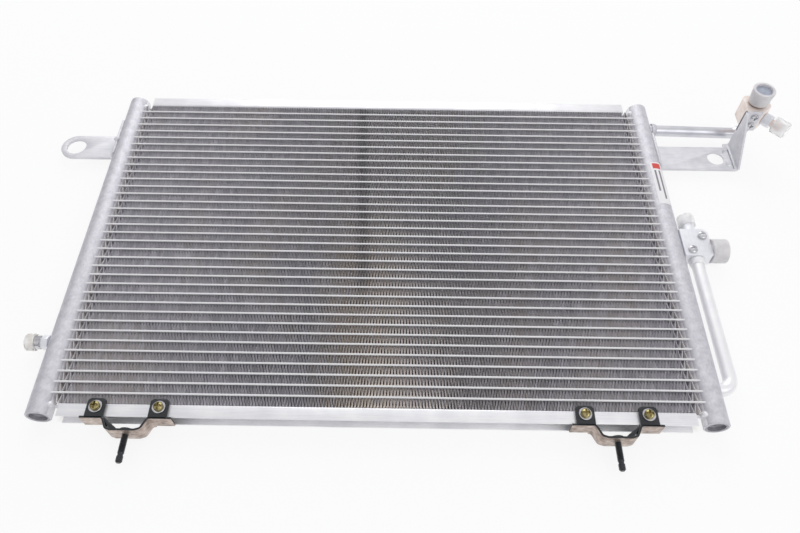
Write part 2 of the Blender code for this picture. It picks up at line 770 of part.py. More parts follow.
def build_feet(shop):
    """Two coated foot brackets with their studs, washers and screws."""
    front = TUBE_DEPTH / 2.0 + FIT_GAP + FOOT_SHEET
    back = front - FOOT_SHEET - FOOT_DEPTH
    edge = -(WEB_INNER + SIDE_FLANGE + FIT_GAP)
    strip = edge - FOOT_SHEET / 2.0
    outer = edge - FOOT_SHEET
    inner = outer + TAB_REACH
    seat = front + FIT_GAP + WASHER_THICKNESS + FIT_GAP
    for name, centre in foot_centres():
        mesh = bent_sheet(foot_line(strip), FOOT_SHEET, back, front)
        foot = shop.add(f"{name}_foot_bracket", mesh, "black", place_at(centre, 0.0, 0.0), smooth=False)
        for side in (-1.0, 1.0):
            tab = tab_outline(side * TAB_SPACING / 2.0, outer, inner)
            shop.join(foot, prism(tab, front - FOOT_SHEET, front), place_at(centre, 0.0, 0.0))
        for side, end in ((-1.0, "left"), (1.0, "right")):
            x = centre + side * TAB_SPACING / 2.0
            hole = rod(SCREW_DIAMETER / 2.0 + FIT_GAP, 0.0, front + CUTTER_REACH, SCREW_SEGMENTS)
            shop.cut(foot, hole, place_at(x, -screw_level(), 0.0))
            washer = ring(WASHER_DIAMETER / 2.0, SCREW_DIAMETER / 2.0 + FIT_GAP, 0.0, WASHER_THICKNESS,
                          SCREW_SEGMENTS)
            shop.add(f"{name}_foot_{end}_washer", washer, "steel", place_at(x, -screw_level(), front + FIT_GAP))
            screw = screw_mesh(SCREW_DIAMETER, SCREW_LENGTH, SCREW_HEAD_DIAMETER, SCREW_HEAD_HEIGHT)
            shop.add(f"{name}_foot_{end}_screw", screw, "zinc", place_at(x, -screw_level(), seat))
        hat = strip - FOOT_HAT_DROP + FOOT_SHEET / 2.0
        level = (front + back) / 2.0 - FOOT_SHEET / 2.0
        stud_hole = rod(STUD_DIAMETER / 2.0 + FIT_GAP, -CUTTER_REACH, FOOT_SHEET + CUTTER_REACH, SCREW_SEGMENTS)
        shop.cut(foot, stud_hole, along(-Y_AXIS, (centre, hat, level)))
        shop.add(f"{name}_foot_stud", stud_mesh(), "black", along(-Y_AXIS, (centre, hat + FIT_GAP, level)))


# Ear and bracket on the headers

def saddle_mesh(side, low, high):
    """Curved seat on a header's outer side, with facets that match the header's."""
    radius = HEADER_RADIUS + FIT_GAP + SADDLE_SHEET / 2.0
    step = math.pi / 2.0 / HEADER_BACK_FACETS
    middle = 0.0 if side > 0.0 else math.pi
    reach = 2.0 * step
    line = arc_points((side * HEADER_X, 0.0), radius, middle - reach, middle + reach, 4)
    return bent_sheet(line, SADDLE_SHEET, low, high, "XZ")


def plate_start():
    """Distance from a header's axis at which a plate leaves its curved seat."""
    middle = HEADER_RADIUS + FIT_GAP + SADDLE_SHEET / 2.0
    return math.sqrt(middle * middle - PLATE_LEVEL * PLATE_LEVEL)


def build_ear(shop):
    """Left mounting ear: a curved seat and a flat plate with a round end and one hole."""
    y = HEADER_TOP - EAR_FROM_TOP
    half = EAR_WIDTH / 2.0
    hole_x = -HEADER_X - EAR_HOLE_FROM_HEADER
    seat = y - half - SADDLE_PAST_PLATE
    ear = shop.add("left_mounting_ear", saddle_mesh(-1.0, seat, seat + EAR_SADDLE_LENGTH), "plate",
                   smooth=False)
    start = -HEADER_X - plate_start()
    outline = [(start, y + half)] + arc_points((hole_x, y), half, math.pi / 2.0, 1.5 * math.pi, 8)
    outline.append((start, y - half))
    low = PLATE_LEVEL - EAR_SHEET / 2.0
    high = PLATE_LEVEL + EAR_SHEET / 2.0
    shop.join(ear, prism(outline, low, high))
    hole = rod(EAR_HOLE_DIAMETER / 2.0, low - CUTTER_REACH, high + CUTTER_REACH, 16)
    shop.cut(ear, hole, place_at(hole_x, y, 0.0))


def port_y():
    """Axis of the inlet fitting's port, along Y."""
    return HEADER_TOP - INLET_FROM_TOP - INLET_DRIFT


def strap_face():
    """Outer face of the strap along Y, on the fitting's flat side."""
    return port_y() - FITTING_FACE_TO_PORT - FIT_GAP - BRACKET_SHEET


def strap_screws():
    """Name and seat of both strap screws, which point out of the strap along -Y."""
    x = HEADER_X + RISER_FROM_HEADER + STRAP_SCREW_FROM_RISER
    places = (("lower", STRAP_SCREW_LOW), ("upper", STRAP_SCREW_HIGH))
    return [(name, along(-Y_AXIS, (x, strap_face() - FIT_GAP, level))) for name, level in places]


def build_bracket(shop):
    """Inlet bracket: seat, flat plate, tapered riser and the strap that holds the fitting."""
    y = HEADER_TOP - BRACKET_FROM_TOP
    low_y = y - BRACKET_WIDTH / 2.0
    high_y = strap_face() + BRACKET_SHEET
    riser = HEADER_X + RISER_FROM_HEADER
    bend = (riser - BRACKET_BEND, PLATE_LEVEL + BRACKET_BEND)
    line = [(HEADER_X + plate_start(), PLATE_LEVEL)]
    line += arc_points(bend, BRACKET_BEND, -math.pi / 2.0, 0.0, 3)
    line.append((riser, STRAP_TOP))
    bracket = shop.add("inlet_bracket", bent_sheet(line, BRACKET_SHEET, low_y, high_y, "XZ"), "plate")
    bead = port_y() + INLET_DRIFT - BEAD_DIAMETER / 2.0
    shop.join(bracket, saddle_mesh(1.0, low_y - SADDLE_PAST_PLATE, bead - BRACKET_SADDLE_TO_BEAD))
    inner = riser - BRACKET_SHEET / 2.0
    strap = [(inner, STRAP_BOTTOM), (inner + STRAP_WIDTH, STRAP_BOTTOM), (inner + STRAP_WIDTH, STRAP_TOP),
             (inner, STRAP_TOP)]
    shop.join(bracket, prism(strap, strap_face(), high_y, "XZ"))
    near = low_y - CUTTER_REACH
    head = high_y - RISER_HEAD_WIDTH
    shoulder = high_y - RISER_SHOULDER_WIDTH
    taper = [(near, PLATE_LEVEL + BRACKET_BEND), (low_y, PLATE_LEVEL + BRACKET_BEND),
             (shoulder, RISER_SHOULDER_LEVEL), (head, STRAP_TOP), (head, STRAP_TOP + CUTTER_REACH),
             (near, STRAP_TOP + CUTTER_REACH)]
    shop.cut(bracket, prism(taper, inner - CUTTER_REACH, riser + BRACKET_SHEET, "YZ"))
    hole = rod(BRACKET_HOLE_DIAMETER / 2.0, -BRACKET_SHEET, BRACKET_SHEET, 16)
    shop.cut(bracket, hole, place_at(HEADER_X + BRACKET_HOLE_FROM_HEADER, y, PLATE_LEVEL))
    for name, place in strap_screws():
        screw_hole = rod(STRAP_SCREW_DIAMETER / 2.0 + FIT_GAP, -2.0 * BRACKET_SHEET, BRACKET_SHEET, SCREW_SEGMENTS)
        shop.cut(bracket, screw_hole, place)
        screw = screw_mesh(STRAP_SCREW_DIAMETER, STRAP_SCREW_LENGTH, STRAP_SCREW_HEAD_DIAMETER,
                           STRAP_SCREW_HEAD_HEIGHT)
        shop.add(f"inlet_bracket_{name}_screw", screw, "steel", place)


# Inlet, outlet and ports

def cap_mesh(mouth, end, length, thread, segments=CAP_SEGMENTS):
    """Push-on cap over a thread, mouth at height zero, with a shallow recess in its end."""
    inner = thread / 2.0 + FIT_GAP
    depth = length - CAP_RECESS - CAP_END
    rim = end / 2.0 - CAP_RIM
    profile = [(inner, 0.0), (mouth / 2.0, 0.0), (end / 2.0, length), (rim, length), (rim, length - CAP_RECESS),
               (0.0, length - CAP_RECESS), (0.0, depth), (inner, depth)]
    return turned(profile, segments)


def fitting_outline(inset):
    """Plan of the inlet fitting about its port: a flat front, one facet and two round corners."""
    half = FITTING_WIDTH / 2.0
    front = -FITTING_FACE_TO_PORT
    back = front + FITTING_DEPTH
    facet = FITTING_FACET
    quarter = math.pi / 2.0
    low = half - FITTING_CORNER
    points = [(-half, front), (half - facet, front), (half, front + facet)]
    points += arc_points((low, back - FITTING_CORNER), FITTING_CORNER, 0.0, quarter, 3)
    points += arc_points((-low, back - FITTING_CORNER), FITTING_CORNER, quarter, 2.0 * quarter, 3)
    middle = (front + back) / 2.0
    across = 1.0 - inset / half
    return [(x * across, middle + (y - middle) * across) for x, y in points]


def fitting_mesh():
    """Inlet fitting's body, with its lower edge sloped in."""
    mesh = bmesh.new()
    levels = ((FITTING_FOOT_INSET, FITTING_BOTTOM), (0.0, FITTING_BOTTOM + FITTING_FOOT_INSET), (0.0, FITTING_TOP))
    rings = [[mesh.verts.new((x, y, z)) for x, y in fitting_outline(inset)] for inset, z in levels]
    count = len(rings[0])
    for near, far in zip(rings, rings[1:]):
        for i in range(count):
            j = (i + 1) % count
            mesh.faces.new((near[i], near[j], far[j], far[i]))
    mesh.faces.new(rings[0])
    mesh.faces.new(rings[-1])
    return mesh


def build_inlet(shop):
    """Inlet pipe, its braze bead, the fitting with its port and cap, and the service valve."""
    entry_y = HEADER_TOP - INLET_FROM_TOP
    axis_x = HEADER_X + FITTING_FROM_HEADER
    start_x = HEADER_X + BORE_RADIUS - PIPE_PAST_WALL
    end_z = FITTING_BOTTOM + FITTING_SOCKET
    start = Vector((start_x, entry_y, 0.0))
    elbow = Vector((axis_x, port_y(), 0.0))
    path = rounded_path([start, elbow, (axis_x, port_y(), end_z)], PIPE_BEND)
    shop.add("inlet_pipe", pipe_mesh(path, PIPE_RADIUS, PIPE_RADIUS - PIPE_WALL), "aluminium")
    heading = (elbow - start).normalized()
    lean = BEAD_DIAMETER / 2.0 * abs(heading.y)
    seat = start + heading * (HEADER_X + HEADER_RADIUS + FIT_GAP + lean - start_x) / heading.x
    bead = ring(BEAD_DIAMETER / 2.0, PIPE_RADIUS + FIT_GAP, 0.0, BEAD_LENGTH)
    shop.add("inlet_pipe_bead", bead, "aluminium", along(heading, seat))

    centre = (axis_x, port_y(), 0.0)
    neck_top = FITTING_TOP + PORT_THREAD_LENGTH
    fitting = shop.add("inlet_fitting", fitting_mesh(), "plate", place_at(*centre))
    shop.join(fitting, rod(PORT_THREAD_DIAMETER / 2.0, FITTING_TOP - CUTTER_REACH, neck_top, CAP_SEGMENTS),
              place_at(*centre))
    shop.cut(fitting, rod(PORT_BORE_DIAMETER / 2.0, end_z, neck_top + CUTTER_REACH), place_at(*centre))
    socket = rod(PIPE_RADIUS + FIT_GAP, FITTING_BOTTOM - CUTTER_REACH, end_z + FIT_GAP)
    shop.cut(fitting, socket, place_at(*centre))
    for _, place in strap_screws():
        hole = rod(STRAP_SCREW_DIAMETER / 2.0 + FIT_GAP, -STRAP_SCREW_LENGTH - FIT_GAP, 0.0, SCREW_SEGMENTS)
        shop.cut(fitting, hole, place)
    cap = cap_mesh(INLET_CAP_MOUTH_DIAMETER, INLET_CAP_TOP_DIAMETER, INLET_CAP_LENGTH, PORT_THREAD_DIAMETER)
    shop.add("inlet_port_cap", cap, "plastic", place_at(axis_x, port_y(), FITTING_TOP + FIT_GAP))
    build_valve(shop, fitting, centre)


def build_valve(shop, fitting, port):
    """Service valve screwed into the fitting's facet, with its dust cap."""
    heading = (X_AXIS - Y_AXIS).normalized()
    facet_x = port[0] + (FITTING_WIDTH - FITTING_FACET) / 2.0
    facet_y = port[1] - FITTING_FACE_TO_PORT + FITTING_FACET / 2.0
    seat = Vector((facet_x, facet_y, VALVE_LEVEL))
    body = VALVE_BODY_DIAMETER / 2.0
    thread = VALVE_THREAD_DIAMETER / 2.0
    depth = VALVE_SPIGOT_LENGTH
    shoulder = VALVE_BODY_LENGTH
    tip = shoulder + VALVE_THREAD_LENGTH
    profile = [(0.0, -depth), (thread, -depth), (thread, FIT_GAP), (body, FIT_GAP), (body, shoulder),
               (thread, shoulder), (thread, tip), (0.0, tip)]
    shop.add("service_valve", turned(profile, PIPE_SEGMENTS), "plate", along(heading, seat))
    shop.cut(fitting, rod(thread + FIT_GAP, -depth - FIT_GAP, CUTTER_REACH), along(heading, seat))
    cap = cap_mesh(VALVE_CAP_DIAMETER, VALVE_CAP_DIAMETER, VALVE_CAP_LENGTH, VALVE_THREAD_DIAMETER, PIPE_SEGMENTS)
    start = seat + heading * (shoulder + VALVE_CAP_FROM_BODY)
    shop.add("service_valve_cap", cap, "plastic", along(heading, start))


def build_outlet(shop):
    """Outlet pipe, its collar, and the block with its port, sensor neck, caps and screws."""
    pipe_x = HEADER_X + OUTLET_PIPE_FROM_HEADER
    entry_y = HEADER_BOTTOM + OUTLET_FROM_BOTTOM
    centre_y = HEADER_BOTTOM + BLOCK_FROM_BOTTOM
    front = centre_y - BLOCK_LENGTH / 2.0
    back = centre_y + BLOCK_LENGTH / 2.0
    start_x = HEADER_X + BORE_RADIUS - PIPE_PAST_WALL
    pipe_end = front + OUTLET_SOCKET
    path = rounded_path([(start_x, entry_y, 0.0), (pipe_x, entry_y, 0.0), (pipe_x, pipe_end, 0.0)], OUTLET_BEND)
    shop.add("outlet_pipe", pipe_mesh(path, PIPE_RADIUS, PIPE_RADIUS - PIPE_WALL), "aluminium")
    collar = ring(COLLAR_DIAMETER / 2.0, PIPE_RADIUS + FIT_GAP, FIT_GAP, COLLAR_LENGTH)
    shop.add("outlet_pipe_collar", collar, "aluminium", along(-Y_AXIS, (pipe_x, front, 0.0)))

    left = HEADER_X + BLOCK_FROM_HEADER
    right = left + BLOCK_WIDTH
    cut = BLOCK_CHAMFER
    outline = [(left, front), (right - cut, front), (right, front + cut), (right, back - 2.0 * cut),
               (right - 2.0 * cut, back), (left, back)]
    block = shop.add("outlet_block", prism(outline, BLOCK_BOTTOM, BLOCK_TOP), "plate", smooth=False)
    seat = [(HEADER_X - x, -z) for x, z in header_columns(HEADER_RADIUS + FIT_GAP)]
    shop.cut(block, prism(seat, front - CUTTER_REACH, back + CUTTER_REACH, "XZ"))
    port_y = front + BLOCK_PORT_FROM_FRONT
    thread = PORT_THREAD_DIAMETER / 2.0 - FIT_GAP
    port_place = along(X_AXIS, (right, port_y, BLOCK_PORT_LEVEL))
    shop.join(block, rod(thread - CUTTER_REACH, -CUTTER_REACH, BLOCK_PORT_LENGTH), port_place)
    shop.cut(block, rod(PORT_BORE_DIAMETER / 2.0, -BLOCK_WIDTH / 2.0, BLOCK_PORT_LENGTH + CUTTER_REACH), port_place)
    socket = rod(PIPE_RADIUS + FIT_GAP, -OUTLET_SOCKET - FIT_GAP, CUTTER_REACH)
    shop.cut(block, socket, along(-Y_AXIS, (pipe_x, front, 0.0)))
    cap = cap_mesh(OUTLET_CAP_DIAMETER, OUTLET_CAP_DIAMETER, OUTLET_CAP_LENGTH, 2.0 * (thread - CUTTER_REACH))
    cap_start = (right + OUTLET_CAP_START, port_y, BLOCK_PORT_LEVEL)
    shop.add("outlet_port_cap", cap, "plastic", along(X_AXIS, cap_start))
    build_sensor_port(shop, block, (pipe_x, back, 0.0))

    inset = BLOCK_SCREW_INSET
    places = (("rear", right - inset, back - inset - cut),
              ("front", right - BLOCK_FRONT_SCREW_FROM_END, front + inset))
    for name, x, y in places:
        shank = BLOCK_SCREW_DIAMETER / 2.0
        bottom = BLOCK_BOTTOM - CUTTER_REACH
        shop.cut(block, rod(shank + FIT_GAP, bottom, BLOCK_TOP + CUTTER_REACH, SCREW_SEGMENTS), place_at(x, y, 0.0))
        screw = screw_mesh(BLOCK_SCREW_DIAMETER, BLOCK_TOP - BLOCK_BOTTOM, BLOCK_SCREW_HEAD_DIAMETER,
                           BLOCK_SCREW_HEAD_HEIGHT)
        shop.add(f"outlet_block_{name}_screw", screw, "steel", place_at(x, y, BLOCK_TOP + FIT_GAP))
    pin = BLOCK_PIN_DIAMETER / 2.0
    depth = SENSOR_SPIGOT_LENGTH
    pin_place = along(Y_AXIS, (left + BLOCK_PIN_INSET, back, 0.0))
    shop.cut(block, rod(pin + FIT_GAP, -depth - FIT_GAP, CUTTER_REACH, SCREW_SEGMENTS), pin_place)
    shop.add("outlet_block_pin", rod(pin, -depth, BLOCK_PIN_LENGTH, SCREW_SEGMENTS), "steel", pin_place)


def build_sensor_port(shop, block, start):
    """Small capped neck on the far side of the outlet block."""
    neck = SENSOR_NECK_DIAMETER / 2.0
    thread = SENSOR_THREAD_DIAMETER / 2.0
    spigot = PRESSURE_SPIGOT_DIAMETER / 2.0
    depth = SENSOR_SPIGOT_LENGTH
    tip = SENSOR_NECK_LENGTH + SENSOR_THREAD_LENGTH
    profile = [(0.0, -depth), (spigot, -depth), (spigot, FIT_GAP), (neck, FIT_GAP), (neck, SENSOR_NECK_LENGTH),
               (thread, SENSOR_NECK_LENGTH), (thread, tip), (0.0, tip)]
    place = along(Y_AXIS, start)
    shop.add("outlet_sensor_neck", turned(profile, PIPE_SEGMENTS), "plate", place)
    shop.cut(block, rod(spigot + FIT_GAP, -depth - FIT_GAP, CUTTER_REACH), place)
    cap = cap_mesh(SENSOR_CAP_DIAMETER, SENSOR_CAP_DIAMETER, SENSOR_CAP_LENGTH, SENSOR_THREAD_DIAMETER,
                   PIPE_SEGMENTS)
    cap_start = Vector(start) + Y_AXIS * (SENSOR_NECK_LENGTH + FIT_GAP)
    shop.add("outlet_sensor_cap", cap, "plastic", along(Y_AXIS, cap_start))


def hexagon(across):
    """Outline of a hexagon of a given size across its flats."""
    radius = across / 2.0 / math.cos(math.pi / 6.0)
    return arc_points((0.0, 0.0), radius, 0.0, math.tau * 5.0 / 6.0, 5)


def build_pressure_port(shop):
    """Pressure port on the left header: spigot, hexagon, neck, thread and cap."""
    spigot = PRESSURE_SPIGOT_DIAMETER / 2.0
    neck = PRESSURE_NECK_DIAMETER / 2.0
    thread = PRESSURE_THREAD_DIAMETER / 2.0
    flange = PRESSURE_HEX_LENGTH
    shoulder = flange + PRESSURE_NECK_LENGTH
    tip = shoulder + PRESSURE_THREAD_LENGTH
    profile = [(0.0, -HEADER_WALL - FIT_GAP), (spigot, -HEADER_WALL - FIT_GAP), (spigot, flange), (neck, flange),
               (neck, shoulder), (thread, shoulder), (thread, tip), (0.0, tip)]
    x = -HEADER_X - HEADER_RADIUS - FIT_GAP
    y = HEADER_BOTTOM + PRESSURE_FROM_BOTTOM
    place = along(-X_AXIS, (x, y, 0.0))
    port = shop.add("pressure_port", turned(profile, PIPE_SEGMENTS), "plate", place)
    shop.join(port, prism(hexagon(PRESSURE_HEX), 0.0, flange), place)
    cap = cap_mesh(PRESSURE_CAP_DIAMETER, PRESSURE_CAP_DIAMETER, PRESSURE_CAP_LENGTH, PRESSURE_THREAD_DIAMETER,
                   PIPE_SEGMENTS)
    cap_start = (x - shoulder - FIT_GAP, y, 0.0)
    shop.add("pressure_port_cap", cap, "plastic", along(-X_AXIS, cap_start))


def build_label(shop):
    """Sticker that follows three facets of the right header, on its front and outer side."""
    radius = HEADER_RADIUS + FIT_GAP + LABEL_THICKNESS / 2.0
    step = math.pi / 2.0 / HEADER_BACK_FACETS
    first = math.pi - math.asin(SLOT_HALF_DEPTH / HEADER_RADIUS)
    side = (first - math.pi / 2.0) / HEADER_SIDE_FACETS
    angles = [math.pi / 2.0 - 2.0 * step, math.pi / 2.0 - step, math.pi / 2.0, math.pi / 2.0 + side]
    line = [(HEADER_X + radius * math.cos(angle), radius * math.sin(angle)) for angle in angles]
    top = HEADER_TOP - LABEL_FROM_TOP + LABEL_LENGTH / 2.0
    shop.add("header_label", bent_sheet(line, LABEL_THICKNESS, top - LABEL_LENGTH, top, "XZ"), "paper")


def stand_on_origin(shop):
    """Move the model so that its origin is the middle of its box, on its resting plane."""
    bpy.context.view_layer.update()
    graph = bpy.context.evaluated_depsgraph_get()
    corners = []
    for piece in shop.pieces:
        seen = piece.evaluated_get(graph)
        corners += [seen.matrix_world @ vert.co for vert in seen.data.vertices]
    low = [min(corner[axis] for corner in corners) for axis in range(3)]
    high = [max(corner[axis] for corner in corners) for axis in range(3)]
    shop.root.location = (-(low[0] + high[0]) / 2.0, -(low[1] + high[1]) / 2.0, -low[2])
    bpy.context.view_layer.update()


def main():
    """Build every piece of the condenser."""
    for item in list(bpy.data.objects):
        bpy.data.objects.remove(item, do_unlink=True)
    shop = Shop()
    build_core(shop)
    build_headers(shop)
    build_side_plates(shop)
    build_feet(shop)
    build_ear(shop)
    build_bracket(shop)
    build_inlet(shop)
    build_outlet(shop)
    build_pressure_port(shop)
    build_label(shop)
    stand_on_origin(shop)


main()
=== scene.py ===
"""Looks of a finned condenser coil: brazed core, headers, pipe fittings, brackets and feet.

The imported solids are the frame. Each sub-assembly is a class that takes its place from the
frame, makes its finer meshes in metres and dresses them. X runs along the flat tubes, Y along
the headers and Z out of the front face; the coil lies on its back on z = 0.
"""
import logging
import math
from dataclasses import dataclass
from enum import Enum
from functools import cache, partial
from typing import Any, Callable, Iterable, Sequence

import bmesh
import bpy
from mathutils import Euler, Matrix, Vector


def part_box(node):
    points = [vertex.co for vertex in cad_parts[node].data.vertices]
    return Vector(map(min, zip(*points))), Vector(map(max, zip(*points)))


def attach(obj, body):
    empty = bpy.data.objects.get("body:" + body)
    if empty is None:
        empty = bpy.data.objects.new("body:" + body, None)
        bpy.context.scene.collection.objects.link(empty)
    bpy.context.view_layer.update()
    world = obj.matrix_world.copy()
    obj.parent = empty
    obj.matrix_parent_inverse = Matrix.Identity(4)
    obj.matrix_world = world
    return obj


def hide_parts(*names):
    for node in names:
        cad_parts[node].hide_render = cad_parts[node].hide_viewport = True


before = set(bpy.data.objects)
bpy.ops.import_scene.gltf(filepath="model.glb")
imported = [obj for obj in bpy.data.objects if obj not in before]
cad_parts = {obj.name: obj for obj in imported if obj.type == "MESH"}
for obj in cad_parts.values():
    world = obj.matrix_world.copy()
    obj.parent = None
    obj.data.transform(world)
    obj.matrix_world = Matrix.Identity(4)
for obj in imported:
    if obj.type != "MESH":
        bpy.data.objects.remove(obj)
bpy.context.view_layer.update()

LOG = logging.getLogger("condenser")
MM = 0.001
SMOOTH_ANGLE = math.radians(32.0)
BEVEL_ANGLE = math.radians(40.0)
X_AXIS, Y_AXIS, Z_AXIS = Matrix.Identity(3)
# Outline in the XZ plane with its height along Y, and outline in YZ with its height along X
UPRIGHT = Matrix(((1, 0, 0, 0), (0, 0, 1, 0), (0, 1, 0, 0), (0, 0, 0, 1)))
ALONG_X = Matrix(((0, 0, 1, 0), (1, 0, 0, 0), (0, 1, 0, 0), (0, 0, 0, 1)))
MATH, RANGE = "ShaderNodeMath", "ShaderNodeMapRange"

Point = tuple[float, float]
Outline = Sequence[Point]
Mesh = bmesh.types.BMesh
Material = bpy.types.Material


class Slot(Enum):
    """Material slots of the record."""

    CORE = "core"
    ALUMINIUM = "aluminium"
    PLATE = "plate"
    CAP = "cap"
    BLACK = "black"
    ZINC = "zinc"
    STEEL = "steel"
    LABEL = "label"


# Places in the frame

@dataclass(frozen=True)
class Span:
    """Box of one CAD node."""

    low: Vector
    high: Vector

    @classmethod
    def of(cls, node: str) -> "Span":
        """Read a node's box from the frame."""
        low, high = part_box(node)
        return cls(Vector(low), Vector(high))

    @property
    def centre(self) -> Vector:
        """Middle of the box."""
        return (self.low + self.high) / 2.0

    @property
    def size(self) -> Vector:
        """Size of the box."""
        return self.high - self.low


class Side(Enum):
    """Which header a piece belongs to, with its sign along X."""

    LEFT = -1.0
    RIGHT = 1.0

    @property
    def axis(self) -> Vector:
        """Middle of this header's axis.

        Returns:
            The point halfway along it.
        """
        box = Span.of(f"{self.name.lower()}_header")
        radius = box.size.z / 2.0
        x = box.low.x + radius if self is Side.LEFT else box.high.x - radius
        return Vector((x, box.centre.y, box.centre.z))


def core_centre() -> Vector:
    """Middle of the core, halfway between the header axes."""
    return (Side.LEFT.axis + Side.RIGHT.axis) / 2.0


def placed(direction: Vector, start: Vector) -> Matrix:
    """Placing that lays a turned piece's Z axis along a direction, from a starting point."""
    turn = Z_AXIS.rotation_difference(direction.normalized())
    return Matrix.Translation(start) @ turn.to_matrix().to_4x4()


def mm(*points: Point) -> list[Point]:
    """Turn points in millimetres into metres."""
    return [(x * MM, y * MM) for x, y in points]


# Nodes and colours

def linear(code: str) -> tuple[float, ...]:
    """Turn an sRGB hex colour into linear light.

    Args:
        code: Six hex digits, such as "C8C8D0".

    Returns:
        Red, green, blue and alpha.
    """
    values = [int(code[start:start + 2], 16) / 255.0 for start in (0, 2, 4)]
    light = (v / 12.92 if v <= 0.04045 else ((v + 0.055) / 1.055) ** 2.4 for v in values)
    return (*light, 1.0)


def add_node(tree: bpy.types.NodeTree, kind: str, inputs: Sequence[Any] | dict[Any, Any] = (),
             **settings: Any) -> bpy.types.Node:
    """Add a node with its settings, values and links.

    Args:
        tree: Tree that gets the node.
        kind: The node's type name.
        inputs: Values in the order of the node's inputs, or by name or number. A socket is
            linked, and of a node its first output.
        settings: Attributes of the node.

    Returns:
        The new node.
    """
    node = tree.nodes.new(kind)
    for key, value in settings.items():
        setattr(node, key, value)
    for key, value in inputs.items() if isinstance(inputs, dict) else enumerate(inputs):
        if isinstance(value, bpy.types.Node):
            value = value.outputs[0]
        if isinstance(value, bpy.types.NodeSocket):
            tree.links.new(value, node.inputs[key])
        else:
            node.inputs[key].default_value = value
    return node


class Surface:
    """A material under construction."""

    def __init__(self, name: str, shader: str = "ShaderNodeBsdfPrincipled") -> None:
        """Make an empty material with its shader.

        Args:
            name: The material's name.
            shader: The shader's type name.
        """
        self.material = bpy.data.materials.new(name)
        self.material.use_nodes = True
        self.tree = self.material.node_tree
        self.tree.nodes.clear()
        self.add = partial(add_node, self.tree)
        self.shader = self.add(shader)
        self.add("ShaderNodeOutputMaterial", [self.shader])

    def place(self, kind: str = "Object") -> bpy.types.bpy_prop_collection:
        """Coordinates of a kind, as the sockets X, Y and Z."""
        spot = self.add("ShaderNodeTexCoord").outputs[kind]
        return self.add("ShaderNodeSeparateXYZ", [spot]).outputs

    def noise(self, size: Sequence[float], detail: float) -> bpy.types.Node:
        """Noise whose grain has a real size.

        Args:
            size: Grain size along X, Y and Z, in millimetres.
            detail: Layers of finer noise.

        Returns:
            The noise node.
        """
        scale = Vector([1.0 / (length * MM) for length in size])
        place = self.add("ShaderNodeTexCoord").outputs["Object"]
        mapping = self.add("ShaderNodeMapping", {"Vector": place, "Scale": scale})
        return self.add("ShaderNodeTexNoise", {"Vector": mapping, "Scale": 1.0, "Detail": detail})

    def blended(self, value: Any, low: float, high: float, *colours: Any) -> Any:
        """Mix two colours as a value goes from low to high.

        Args:
            value: Node or socket of the value.
            low: Where only the first colour shows.
            high: Where only the second one shows.
            colours: Two hex colours or sockets.

        Returns:
            The mixed colour's socket.
        """
        share = self.add(RANGE, [value, low, high])
        first, second = (linear(c) if isinstance(c, str) else c for c in colours)
        mixed = self.add("ShaderNodeMix", {0: share, 6: first, 7: second}, data_type="RGBA")
        return mixed.outputs[2]

    def finished(self, colour: Any, grain: bpy.types.Node, rough: Point, relief: Any = None,
                 bump: Point = (0.0, 0.0), values: dict[str, Any] | None = None) -> Material:
        """Link colour, roughness and bumps, and set what is the same all over.

        Args:
            colour: Socket of the base colour.
            grain: Noise that the roughness follows.
            rough: Lowest and highest roughness.
            relief: Node that the bumps follow.
            bump: Strength of the bumps, and their height in millimetres.
            values: Constant shader inputs by name.

        Returns:
            The finished material.
        """
        inputs = {"Base Color": colour,
                  "Roughness": self.add(RANGE, [grain, 0.3, 0.7, *rough]).outputs[0]}
        if relief:
            bumps = self.add("ShaderNodeBump", {
                "Strength": bump[0], "Distance": bump[1] * MM, "Height": relief})
            inputs["Normal"] = bumps.outputs[0]
        for key, socket in inputs.items():
            self.tree.links.new(socket, self.shader.inputs[key])
        for key, value in (values or {}).items():
            self.shader.inputs[key].default_value = value
        return self.material


# Finishes

@dataclass(frozen=True)
class MetalFinish:
    """A bare or plated metal with mottling, a grain in one direction and fine bumps.

    Grain and mottle are in millimetres.
    """

    name: str
    colours: tuple[str, str]
    rough: Point
    grain: tuple[float, float, float]
    mottle: float
    bump: float = 0.2
    metallic: float = 0.8

    def build(self) -> Material:
        """Make the material.

        Returns:
            The finished material.
        """
        surface = Surface(self.name)
        mottle = surface.noise((self.mottle,) * 3, 4.0)
        grain = surface.noise(self.grain, 2.0)
        fine = surface.add(MATH, [grain, 0.35], operation="MULTIPLY")
        mixed = surface.add(MATH, [mottle, 0.65, fine], operation="MULTIPLY_ADD")
        colour = surface.blended(mixed, 0.35, 0.65, *self.colours)
        return surface.finished(colour, grain, self.rough, grain, (self.bump, 0.1),
                                {"Metallic": self.metallic})


